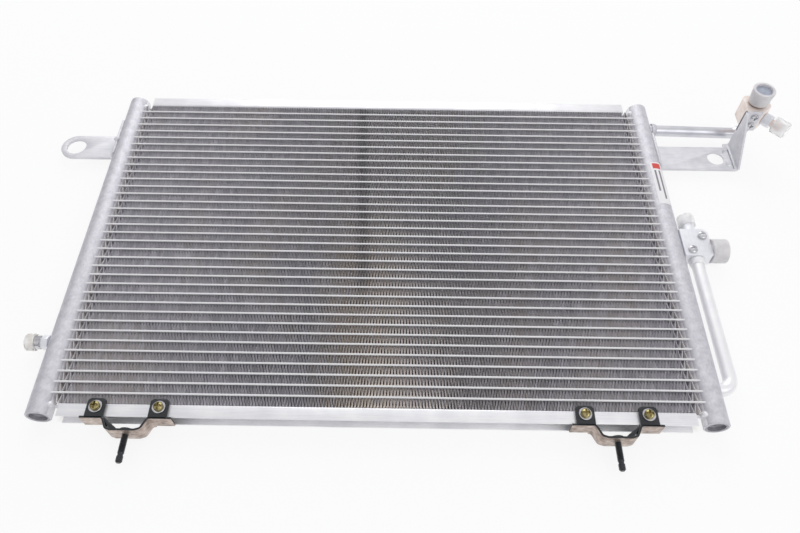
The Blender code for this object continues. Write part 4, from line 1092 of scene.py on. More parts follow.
@dataclass
class Core:
    """Brazed stack of 35 flat tubes and 36 corrugated fin strips."""

    tubes: int = 35
    pitch: float = 10.2 * MM
    tube_thickness: float = 2.0 * MM
    tube_depth: float = 16.0 * MM
    tube_margin: float = 3.0 * MM
    fin_depth: float = 15.4 * MM
    fin_sheet: float = 0.28 * MM
    folds: int = 195
    rows: int = 3
    fin_margin: float = 17.5 * MM
    wander: float = 0.6 * MM
    opened: float = 5.5 * MM
    pulled: float = 5.4 * MM
    # Each scuffed place from the core's middle, its radius and its lean, in millimetres
    dents: tuple[tuple[float, ...], ...] = (
        (196.0, -108.0, 9.0, 0.8), (226.0, -112.0, 6.0, 0.6),
        (-58.0, -64.0, 14.0, -0.6), (-6.0, -78.0, 10.0, 0.5))

    def build(self) -> None:
        """Make the fins and the tubes of every course."""
        middle = core_centre()
        half = (Side.RIGHT.axis.x - Side.LEFT.axis.x) / 2.0
        top = middle.y + (self.tubes - 1) * self.pitch / 2.0
        fins, bars = fin_tree(), tube_tree()
        nodes = sorted(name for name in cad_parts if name.startswith("core_course_"))
        for course, node in enumerate(nodes):
            row = course * self.rows
            level = top - row * self.pitch
            step = Vector((0.0, -self.pitch, 0.0))
            tube = bars.run(f"flat_tubes_{course + 1:02d}", Finish.TUBE, {
                "Half length": half - self.tube_margin, "Depth": self.tube_depth,
                "Thickness": self.tube_thickness, "First": Vector((middle.x, level, middle.z)),
                "Step": step, "Rows": min(self.rows, self.tubes - row)})
            # The tubes' flat sides take painted shade
            dress(tube, Finish.TUBE, Slot.CORE, node, other=Finish.TUBE_FLAT,
                  where=lambda face: abs(face.normal.y) > 0.9)
            fin = fins.run(f"fin_strips_{course + 1:02d}", Finish.FIN, {
                "Half length": half - self.fin_margin, "Depth": self.fin_depth,
                "Fold height": self.pitch - self.tube_thickness - self.fin_sheet,
                "Folds": self.folds, "Sheet": self.fin_sheet,
                "First": Vector((middle.x, level + self.pitch / 2.0, middle.z)), "Step": step,
                "Rows": min(self.rows, self.tubes + 1 - row), "Wander": self.wander})
            self.dent(fin, middle, half - self.fin_margin - self.opened)
            dress(fin, Finish.FIN, Slot.CORE)

    def dent(self, fin: bpy.types.Object, middle: Vector, closed_to: float) -> None:
        """Pull the last folds open and lean the front edges over in a few scuffed places.

        Args:
            fin: Strips of one course.
            middle: Middle of the core.
            closed_to: Distance from the middle where the folds start to open.
        """
        for vert in fin.data.vertices:
            along = vert.co.x - middle.x
            past = abs(along) - closed_to
            if past > 0.0:
                pull = self.pulled * min(past / self.opened, 1.0) ** 1.4
                vert.co.x += math.copysign(pull, along)
        front = [vert for vert in fin.data.vertices if vert.co.z >= middle.z]
        for x, y, radius, lean in self.dents:
            for vert in front:
                away = math.hypot(vert.co.x - middle.x - x * MM, vert.co.y - middle.y - y * MM)
                if away < 2.5 * radius * MM:
                    vert.co.x += lean * MM * math.exp(-(away / (radius * MM)) ** 2)


# Headers

@dataclass
class Header:
    """Round header with its end cups."""

    side: Side
    radius: float = 11.0 * MM
    bore: float = 9.2 * MM
    edge: float = 0.5 * MM
    cup_gap: float = 0.15 * MM
    cup_depth: float = 4.9 * MM
    cup_floor: float = 1.6 * MM
    cup_bend: float = 1.6 * MM
    cup_wall: float = 1.4 * MM
    cup_edge: float = 0.2 * MM
    # Least share of a face's normal towards the core that takes the painted highlight
    highlight_facing: float = 0.86

    def build(self) -> None:
        """Make the shell and both cups."""
        name = f"{self.side.name.lower()}_header"
        axis = self.side.axis
        half = Span.of(name).size.y / 2.0
        shoulder = self.radius - self.edge
        outline = [(self.bore, -half), (shoulder, -half), (self.radius, -half + self.edge),
                   (self.radius, half - self.edge), (shoulder, half), (self.bore, half)]
        # The flank facing the core takes a painted highlight
        add_piece(f"{name}_shell", turned(outline, 72, placed(Y_AXIS, axis)), Finish.HEADER,
                  Slot.ALUMINIUM, name, other=Finish.HEADER_JOINT,
                  where=lambda face: -self.side.value * face.normal.x > self.highlight_facing)
        # The end cups take painted shade inside the open ends
        for end, heading in (("upper", Y_AXIS), ("lower", -Y_AXIS)):
            add_piece(f"{name}_{end}_plug", self.cup(placed(heading, axis + heading * half)),
                      Finish.CUP, Slot.ALUMINIUM, f"{name}_{end}_cup")

    def cup(self, placing: Matrix) -> Mesh:
        """Pressed cup, mouth at height zero, with a round inner corner.

        Args:
            placing: Where the mouth lies and which way it faces.

        Returns:
            The mesh.
        """
        outer = self.bore - self.cup_gap
        inner = outer - self.cup_wall
        foot = -self.cup_depth - self.cup_floor
        outline = [(0.0, foot), (outer, foot), (outer, -self.cup_edge),
                   (outer - self.cup_edge, 0.0), (inner + self.cup_edge, 0.0),
                   (inner, -self.cup_edge)]
        outline += arc((inner - self.cup_bend, self.cup_bend - self.cup_depth), self.cup_bend,
                       0.0, -90.0, 6)
        return turned(outline + [(0.0, -self.cup_depth)], 48, placing)


@dataclass
class SidePlate:
    """Folded channel that closes the core above or below."""

    name: str
    sheet: float = 1.2 * MM
    bend: float = 1.6 * MM
    reach: float = 13.0 * MM
    tongue: float = 5.6 * MM
    crimp: float = 3.1 * MM
    crimp_from_end: float = 4.6 * MM
    crimp_level: float = 5.0 * MM
    # Outline of the crimp as shares of its size
    bead: tuple[Point, ...] = ((0.0, -0.9), (0.7, -0.9), (1.0, -0.2), (0.85, 0.6), (0.4, 1.0),
                               (0.0, 1.0))

    def build(self) -> None:
        """Make the channel, its tongues and the bright crimps where they enter the headers."""
        box = Span.of(self.name)
        upper = box.centre.y > Side.LEFT.axis.y
        half = self.sheet / 2.0
        web = box.low.y + half if upper else box.high.y - half
        tip = box.high.y if upper else box.low.y
        face = box.size.z / 2.0 - half
        middle = box.centre.z
        line = rounded([(tip, face), (web, face), (web, -face), (tip, -face)],
                       (0.0, self.bend, self.bend, 0.0))
        channel = bent(line, self.sheet, box.low.x + self.reach, box.high.x - self.reach,
                       Matrix.Translation((0.0, 0.0, middle)) @ ALONG_X)
        tongue = prism(rectangle(box.low.x, web - half, box.high.x, web + half),
                       middle - self.tongue / 2.0, middle + self.tongue / 2.0)
        outline = [(self.crimp * radius, self.crimp * height) for radius, height in self.bead]
        crimps = []
        for end, heading in ((box.low.x, 1.0), (box.high.x, -1.0)):
            spot = Vector((end + heading * self.crimp_from_end, web, middle + self.crimp_level))
            crimps.append(turned(outline, 6, placed(Vector((-0.5 * heading, -0.5, 0.7)), spot)))
        add_piece(f"{self.name}_channel", softened(gathered(channel, tongue, *crimps), 0.25),
                  Finish.SHEET, Slot.PLATE, self.name)


# Ear and bracket

def seat_mesh(side: Side, low: float, high: float, sheet: float = 2.0 * MM) -> Mesh:
    """Curved seat that hugs a header's outer side.

    Args:
        side: Which header.
        low: Its lower end along Y.
        high: Its upper end along Y.
        sheet: Thickness.

    Returns:
        The mesh.
    """
    middle = 0.0 if side is Side.RIGHT else 180.0
    line = arc((side.axis.x, side.axis.z), 11.15 * MM + sheet / 2.0, middle - 46.0,
               middle + 46.0, 20)
    return bent(line, sheet, low, high, UPRIGHT)


@dataclass
class MountingEar:
    """Left ear: curved seat on the header and a flat plate with one hole."""

    width: float = 33.0 * MM
    inset: float = 1.5 * MM
    sheet: float = 3.0 * MM
    hole: float = 10.6 * MM
    plate_from_header: float = 11.9 * MM
    level: float = -3.0 * MM
    crimp: float = 2.4 * MM
    crimp_from_header: float = 12.8 * MM
    crimp_lift: float = math.radians(134.0)
    # Outline of the crimp as shares of its size
    bead: tuple[Point, ...] = ((0.0, -1.2), (0.75, -1.2), (1.0, 0.0), (0.75, 1.2), (0.0, 1.2))

    def build(self) -> None:
        """Make the plate, and the seat with its crimp."""
        box = Span.of("left_mounting_ear")
        axis = Side.LEFT.axis
        half = self.width / 2.0
        centre = (box.low.x + half, box.low.y + self.inset + half)
        start = axis.x - self.plate_from_header
        outline = [(start, centre[1] + half), *arc(centre, half, 90.0, 270.0, 36),
                   (start, centre[1] - half)]
        low = axis.z + self.level - self.sheet / 2.0
        bore = turned(rod(self.hole, low - MM, low + 4.0 * MM), 48,
                      Matrix.Translation((*centre, 0.0)))
        plate = cut(prism(outline, low, low + self.sheet), bore)
        add_piece("ear_plate", softened(plate, 0.35), Finish.PRESSED, Slot.PLATE)
        outward = Vector((math.cos(self.crimp_lift), 0.0, math.sin(self.crimp_lift)))
        spot = axis + outward * self.crimp_from_header
        spot.y = centre[1] + 2.0 * MM
        outline = [(self.crimp * radius, self.crimp * height) for radius, height in self.bead]
        lug = turned(outline, 20, placed(Vector((0.8, 0.6, 0.25)), spot))
        seat = softened(seat_mesh(Side.LEFT, box.low.y, box.high.y), 0.3)
        add_piece("ear_seat_and_crimp", gathered(seat, softened(lug, 0.5)), Finish.PRESSED,
                  Slot.PLATE, "left_mounting_ear")


@dataclass
class InletBracket:
    """Folded bracket: seat, flat plate, tapered riser and strap."""

    sheet: float = 2.2 * MM
    width: float = 34.0 * MM
    inset: float = 1.5 * MM
    hole: float = 9.0 * MM
    hole_from_header: float = 76.2 * MM
    plate_from_header: float = 11.9 * MM
    level: float = -3.0 * MM
    riser_from_header: float = 96.6 * MM
    bend: float = 3.0 * MM
    shoulder_width: float = 15.0 * MM
    shoulder_level: float = 36.0 * MM
    head_width: float = 5.0 * MM
    strap_bottom: float = 21.0 * MM
    strap_length: float = 18.5 * MM
    strap_gap: float = 0.3 * MM
    slit: float = 1.5 * MM
    slit_from_bend: float = 1.6 * MM
    dimples: Point = (8.0 * MM, 27.0 * MM)
    # Reach of a cutting solid on both sides of the sheet
    through: float = 3.0 * MM

    def build(self) -> None:
        """Make the folded sheet, and the seat with the strap."""
        box = Span.of("inlet_bracket")
        axis = Side.RIGHT.axis
        low = box.low.y + self.inset
        back = Span.of("inlet_fitting").low.y - self.strap_gap
        riser = axis.x + self.riser_from_header
        floor = axis.z + self.level
        start = axis.x + self.plate_from_header
        line = rounded([(start, floor), (riser, floor), (riser, box.high.z)],
                       (0.0, self.bend, 0.0), 8)
        body = bent(line, self.sheet, low, back, UPRIGHT)
        hole = Vector((axis.x + self.hole_from_header, low + self.width / 2.0, floor))
        bore = turned(rod(self.hole, -4.0 * MM, 4.0 * MM), 48, Matrix.Translation(hole))
        near, knee, over = low - MM, floor + self.bend, box.high.z + MM
        head = back - self.head_width
        taper = prism([(near, knee), (low, knee),
                       (back - self.shoulder_width, axis.z + self.shoulder_level),
                       (head, box.high.z), (head, over), (near, over)],
                      -self.through, self.through, Matrix.Translation((riser, 0.0, 0.0)) @ ALONG_X)
        margin = low + self.width
        notch = prism(rectangle(start + 2.0 * MM, margin + 0.1 * MM, riser - 7.0 * MM, back + MM),
                      floor - self.through, floor + self.through)
        crease = riser - self.bend - self.slit_from_bend
        slit = prism(rectangle(crease, low + 2.0 * MM, crease + self.slit, margin - 3.0 * MM),
                     floor - 0.9 * MM, floor + self.through)
        cone = mm((0.0, -0.4), (2.0, 1.0), (2.0, 2.0), (0.0, 2.0))
        spots = (Vector((crease - 4.0 * MM, low + up, floor)) for up in self.dimples)
        dimples = (turned(cone, 24, Matrix.Translation(spot)) for spot in spots)
        body = cut(body, bore, taper, notch, slit, *dimples)
        add_piece("bracket_sheet", softened(body, 0.3), Finish.PRESSED, Slot.PLATE)
        inner = riser - self.sheet / 2.0
        strap = prism(rectangle(inner, axis.z + self.strap_bottom, inner + self.strap_length,
                                box.high.z), back - self.sheet, back, UPRIGHT)
        rest = gathered(strap, seat_mesh(Side.RIGHT, box.low.y, box.high.y))
        add_piece("bracket_seat_and_strap", softened(rest, 0.3), Finish.PRESSED, Slot.PLATE,
                  "inlet_bracket")


# Screws

class Drive(Enum):
    """Shape of the recess in a screw head: its arms, their width and reach as shares."""

    CROSS = (2, 0.09, 0.38)
    SLOT = (1, 0.12, 0.62)


@dataclass
class Screws:
    """Group of like screws, copied by Geometry Nodes onto the frame's screws."""

    name: str
    nodes: tuple[str, ...]
    drive: Drive
    head: float
    height: float
    shank: float
    length: float
    heading: Vector
    finish: Finish
    slot: Slot
    pitch: float = 0.8 * MM

    def screw(self) -> Mesh:
        """Make one screw, seated at height zero, with a domed head and its recess.

        Returns:
            The mesh.
        """
        rim = self.head / 2.0
        outline = [(0.0, -self.length)]
        for i in range(int(self.length / self.pitch)):
            base = -self.length + i * self.pitch
            outline += [(self.shank * 0.42, base), (self.shank * 0.5, base + self.pitch / 2.0)]
        outline += [(self.shank * 0.5, 0.0), (rim, 0.0)]
        for angle in map(math.radians, range(0, 90, 12)):
            outline.append((rim * math.cos(angle), self.height * (0.42 + 0.58 * math.sin(angle))))
        arms, width, reach = self.drive.value
        x, y = self.head * reach, self.head * width
        tools = [prism(rectangle(-x, -y, x, y), self.height * 0.2, self.height + MM)
                 for x, y in ((x, y), (y, x))[:arms]]
        return cut(turned(outline + [(0.0, self.height)], 28), *tools)

    def build(self) -> None:
        """Copy the screw to every node of the group."""
        points = bmesh.new()
        for node in self.nodes:
            box = Span.of(node)
            size = Vector(map(abs, self.heading)).dot(box.size)
            points.verts.new(box.centre + self.heading * (size / 2.0 - self.height))
        shape = GeometryTree(f"{self.name}_copies", {"Screw": "Object", "Turn": "Vector"})
        info = shape.add("GeometryNodeObjectInfo", {"Object": shape.start["Screw"]})
        spin = shape.add("FunctionNodeEulerToRotation", [shape.start["Turn"]])
        shape.finish(shape.add("GeometryNodeInstanceOnPoints", {
            "Points": shape.start["Geometry"], "Instance": info.outputs["Geometry"],
            "Rotation": spin}))
        one = piece_object("one_screw", self.screw())
        turn = Vector(Z_AXIS.rotation_difference(self.heading).to_euler())
        item = shape.run(self.name, self.finish, {"Screw": one, "Turn": turn}, points)
        bpy.data.objects.remove(one)
        dress(item, self.finish, self.slot, *self.nodes)


# Pipes, fittings and caps

@dataclass
class Cap:
    """Push-on cap with a rim, rounded edges and a shallow recess in its end."""

    name: str
    node: str
    finish: Finish
    mouth: float
    end: float
    length: float
    thread: float
    ribs: int = 0
    soft: float = 0.8 * MM
    edge: float = 0.3 * MM
    recess: float = 3.0 * MM
    floor: float = 2.0 * MM
    rib_depth: float = 0.02

    def build(self, place: Matrix, recessed: Finish | None = None) -> None:
        """Make the cap.

        Args:
            place: Where its mouth lies; it points along Z before.
            recessed: Finish of the recess floor.
        """
        inner = self.thread / 2.0 + self.edge
        mouth = self.mouth / 2.0
        rim = self.end / 2.0 - self.recess
        top = self.length - self.recess
        depth = top - self.floor
        outline = [(inner, 0.0), (mouth - self.edge, 0.0), (mouth, self.edge),
                   *arc((self.end / 2.0 - self.soft, self.length - self.soft), self.soft,
                        0.0, 90.0, 5),
                   (rim + self.edge, self.length), (rim, self.length - self.edge), (rim, top),
                   (0.0, top), (0.0, depth), (inner, depth)]
        mesh = turned(outline, 48)
        for vert in mesh.verts if self.ribs else ():
            radius = vert.co.xy.length
            outer = radius > inner + 1.2 * MM and radius > rim + MM
            if outer and 0.2 * MM < vert.co.z < self.length - self.soft:
                wave = math.cos(self.ribs * math.atan2(vert.co.y, vert.co.x))
                vert.co.xy *= 1.0 - self.rib_depth * (0.5 + 0.5 * wave)
        back = place.inverted()

        def is_floor(face: Any) -> bool:
            """Whether a face is the recess floor."""
            spot = back @ face.center
            return abs(spot.z - top) < 0.2 * MM and spot.xy.length < rim + 0.1 * MM

        add_piece(self.name, closed(mesh, place), self.finish, Slot.CAP, self.node,
                  other=recessed, where=is_floor)


@dataclass
class Inlet:
    """Inlet pipe, fitting, port cap and service valve at the upper right."""

    pipe_radius: float = 6.1 * MM
    wall: float = 1.2 * MM
    bend: float = 12.5 * MM
    drift: float = 2.8 * MM
    width: float = 27.0 * MM
    depth: float = 26.5 * MM
    face_to_port: float = 14.7 * MM
    corner: float = 5.0 * MM
    facet: float = 9.5 * MM
    bottom: float = 19.0 * MM
    top: float = 45.0 * MM
    neck: float = 8.25 * MM
    neck_bore: float = 4.5 * MM
    neck_length: float = 12.0 * MM
    valve_level: float = 32.5 * MM

    def build(self) -> None:
        """Make every piece of the inlet."""
        port = Span.of("inlet_port_cap").centre
        port.z = Side.RIGHT.axis.z
        self.build_pipe(port)
        self.build_fitting(port)
        self.build_cap(port)
        self.build_valve(port)

    def build_pipe(self, port: Vector) -> None:
        """Make the pipe with its elbow and the brazed bead at the header.

        Args:
            port: Where the port's axis meets the level of the header's axis.
        """
        entry = Vector((Side.RIGHT.axis.x + 7.2 * MM, port.y + self.drift, port.z))
        top = port + Z_AXIS * (self.bottom + 6.0 * MM)
        path = [entry, *corner_arc(entry, port, top, self.bend, 14), top]
        add_piece("inlet_tube", pipe(path, self.pipe_radius, self.pipe_radius - self.wall),
                  Finish.PIPE, Slot.ALUMINIUM, "inlet_pipe")
        heading = (port - entry).normalized()
        outline = mm((6.2, 0.0), (7.7, 0.0), (7.8, 1.0), (7.5, 3.4), (6.9, 4.6), (6.2, 5.0))
        add_piece("inlet_bead", turned(outline, 32, placed(heading, entry + heading * 4.4 * MM)),
                  Finish.HEADER, Slot.ALUMINIUM, "inlet_pipe_bead")

    def build_fitting(self, port: Vector) -> None:
        """Make the fitting's body and its threaded neck.

        Args:
            port: Where the port's axis meets the level of the header's axis.
        """
        left, right = port.x - self.width / 2.0, port.x + self.width / 2.0
        front = port.y - self.face_to_port
        back = front + self.depth
        low, high = port.z + self.bottom, port.z + self.top
        outline = rounded([(left, front), (right - self.facet, front), (right, front + self.facet),
                           (right, back), (left, back)],
                          (1.2 * MM, 0.8 * MM, 1.2 * MM, self.corner, self.corner))
        body = prism(outline, low, high)
        edges = [edge for edge in body.edges
                 if all(abs(vert.co.z - low) < 0.01 * MM for vert in edge.verts)]
        bmesh.ops.bevel(body, geom=edges, offset=3.4 * MM, segments=6, profile=0.5,
                        affect="EDGES")
        add_piece("inlet_block", softened(body, 0.6, 3), Finish.WARM_BLOCK, Slot.PLATE,
                  "inlet_fitting")
        tip = high + self.neck_length
        outline = [(self.neck_bore, high - MM), (self.neck - MM, high - MM),
                   *threaded(self.neck, high + 1.5 * MM, tip, 1.5 * MM), (self.neck_bore, tip)]
        add_piece("inlet_neck", turned(outline, 48, Matrix.Translation((*port.xy, 0.0))),
                  Finish.BRASS, Slot.PLATE)

    def build_cap(self, port: Vector) -> None:
        """Make the port cap.

        Args:
            port: Where the port's axis meets the level of the header's axis.
        """
        box = Span.of("inlet_port_cap")
        seat = port + Z_AXIS * (self.top + 2.0 * MM)
        # The recess floor of the cap takes painted shade for the bore below it
        Cap("inlet_cap", "inlet_port_cap", Finish.CAP, 20.5 * MM, box.size.x,
            box.high.z - seat.z, 2.0 * self.neck).build(Matrix.Translation(seat), Finish.CAP_END)

    def build_valve(self, port: Vector) -> None:
        """Make the service valve on the cut corner, its stem and its cap.

        Args:
            port: Where the port's axis meets the level of the header's axis.
        """
        heading = (X_AXIS - Y_AXIS).normalized()
        start = port + Vector(((self.width - self.facet) / 2.0,
                               self.facet / 2.0 - self.face_to_port, self.valve_level))
        place = placed(heading, start)
        body = mm((0.0, -3.0), (4.0, -3.0), (4.0, 0.3), (6.4, 0.3), (7.0, 0.9))
        body += threaded(7.0 * MM, 1.4 * MM, 8.4 * MM, MM) + mm((6.4, 9.5), (4.0, 9.5), (0.0, 9.5))
        add_piece("valve_body", turned(body, 40, place), Finish.BLOCK, Slot.PLATE, "service_valve")
        stem = mm((0.0, 9.0), (3.6, 9.0))
        stem += threaded(4.2 * MM, 9.6 * MM, 21.8 * MM, 0.9 * MM) + mm((0.0, 21.8))
        add_piece("valve_stem", turned(stem, 32, place), Finish.WARM_BLOCK, Slot.PLATE)
        Cap("valve_cap", "service_valve_cap", Finish.THIN_CAP, 17.2 * MM, 17.2 * MM, 15.0 * MM,
            8.5 * MM, 24).build(placed(heading, start + heading * 12.5 * MM))


@dataclass
class Outlet:
    """Outlet pipe, block, ports and caps beside the right header."""

    pipe_radius: float = 6.1 * MM
    wall: float = 1.2 * MM
    bend: float = 11.2 * MM
    width: float = 27.5 * MM
    chamfer: float = 4.0 * MM

    def build(self) -> None:
        """Make every piece of the outlet."""
        header = Side.RIGHT.axis
        neck = Span.of("outlet_sensor_neck")
        self.build_pipe(header, neck.centre.x)
        self.build_block(header)
        self.build_port()
        self.build_neck(Vector((neck.centre.x, neck.low.y + 3.0 * MM, header.z)))
        pin = Span.of("outlet_block_pin")
        length = pin.size.y
        outline = [(0.0, 0.0), (1.9 * MM, 0.0), (1.9 * MM, length - 0.5 * MM), (1.4 * MM, length),
                   (0.0, length)]
        foot = Vector((pin.centre.x, pin.low.y, pin.centre.z))
        add_piece("block_pin", turned(outline, 24, placed(Y_AXIS, foot)), Finish.STEEL,
                  Slot.STEEL, "outlet_block_pin")

    def build_pipe(self, header: Vector, x: float) -> None:
        """Make the pipe with its elbow, and the collar at its end.

        Args:
            header: Middle of the header's axis.
            x: Where the long leg lies along X.
        """
        run = Span.of("outlet_pipe")
        y = run.low.y + self.pipe_radius - 0.2 * MM
        ends = Vector((header.x + 7.2 * MM, y, header.z)), Vector((x, run.high.y, header.z))
        turn = corner_arc(ends[0], Vector((x, y, header.z)), ends[1], self.bend, 14)
        tube = pipe([ends[0], *turn, ends[1]], self.pipe_radius, self.pipe_radius - self.wall)
        add_piece("outlet_tube", tube, Finish.WHITE_PIPE, Slot.ALUMINIUM, "outlet_pipe")
        collar = Span.of("outlet_pipe_collar")
        height = collar.size.y / MM
        outline = mm((6.2, 0.0), (7.4, 0.0), (7.6, 0.3), (7.6, height - 1.2), (6.9, height),
                     (6.2, height))
        place = placed(-Y_AXIS, Vector((x, collar.high.y, header.z)))
        add_piece("outlet_collar", turned(outline, 36, place), Finish.WHITE_PIPE, Slot.ALUMINIUM,
                  "outlet_pipe_collar")

    def build_block(self, header: Vector) -> None:
        """Make the block with its curved seat on the header.

        Args:
            header: Middle of the header's axis.
        """
        box = Span.of("outlet_block")
        left = header.x + 9.5 * MM
        right = left + self.width
        front, back = box.low.y, box.high.y
        outline = rounded([(left, front), (right, front), (right, back - self.chamfer),
                           (right - self.chamfer, back), (left, back)],
                          (0.5 * MM, 1.5 * MM, 0.6 * MM, 0.6 * MM, 0.5 * MM))
        half = (back - front) / 2.0 + MM
        middle = Vector((header.x, (front + back) / 2.0, header.z))
        seat = turned(rod(11.1 * MM, -half, half), 72, placed(Y_AXIS, middle))
        block = cut(prism(outline, header.z - 7.0 * MM, header.z + 8.5 * MM), seat)
        add_piece("outlet_body", softened(block, 0.4, 3), Finish.BLOCK, Slot.PLATE,
                  "outlet_block")

    def build_port(self) -> None:
        """Make the port's thread and its cap."""
        box = Span.of("outlet_port_cap")
        mouth = Vector((box.low.x, box.centre.y, box.centre.z))
        outline = mm((4.5, -2.0), (7.0, -2.0))
        outline += threaded(7.9 * MM, 0.3 * MM, 10.5 * MM, 1.4 * MM) + mm((4.5, 10.5))
        place = placed(X_AXIS, mouth - X_AXIS * 0.5 * MM)
        add_piece("outlet_thread", turned(outline, 40, place), Finish.BLOCK, Slot.PLATE)
        Cap("outlet_cap", "outlet_port_cap", Finish.CAP, box.size.y, box.size.y, box.size.x,
            15.8 * MM).build(placed(X_AXIS, mouth))

    def build_neck(self, foot: Vector) -> None:
        """Make the sensor neck and its cap.

        Args:
            foot: Where the neck leaves the block.
        """
        outline = mm((0.0, -3.0), (4.0, -3.0), (4.0, 0.3), (5.8, 0.3), (6.2, 0.7), (6.2, 8.5),
                     (5.7, 9.0), (4.6, 9.0))
        outline += threaded(5.0 * MM, 9.3 * MM, 15.3 * MM, MM) + mm((0.0, 15.3))
        add_piece("sensor_neck", turned(outline, 36, placed(Y_AXIS, foot)), Finish.BLOCK,
                  Slot.PLATE, "outlet_sensor_neck")
        Cap("sensor_cap", "outlet_sensor_cap", Finish.THIN_CAP, 16.5 * MM, 16.5 * MM, 12.0 * MM,
            10.0 * MM, 20).build(placed(Y_AXIS, foot + Y_AXIS * 9.3 * MM))


@dataclass
class PressurePort:
    """Small capped port on the left header."""

    flats: float = 12.0 * MM
    flange: float = 6.0 * MM
    cap_from_header: float = 12.3 * MM

    def build(self) -> None:
        """Make the port and its cap."""
        header = Side.LEFT.axis
        start = Vector((header.x - 11.3 * MM, Span.of("pressure_port").centre.y, header.z))
        place = placed(-X_AXIS, start)
        reach = self.flats / 2.0 / math.cos(math.pi / 6.0)
        nut = prism(arc((0.0, 0.0), reach, 0.0, 300.0, 5), 0.0, self.flange, place)
        add_piece("port_hexagon", softened(nut, 0.5), Finish.BLOCK, Slot.PLATE)
        outline = mm((0.0, -2.0), (3.9, -2.0), (3.9, 5.5), (5.2, 5.5), (5.2, 6.8), (6.3, 7.8),
                     (6.3, 12.6), (4.6, 14.0), (0.0, 14.0))
        add_piece("port_neck", turned(outline, 32, place), Finish.STEEL, Slot.PLATE,
                  "pressure_port")
        Cap("port_cap", "pressure_port_cap", Finish.WARM_CAP, 15.5 * MM, 15.5 * MM, 8.0 * MM,
            12.6 * MM, 20).build(placed(-X_AXIS, start - X_AXIS * self.cap_from_header))


# Feet

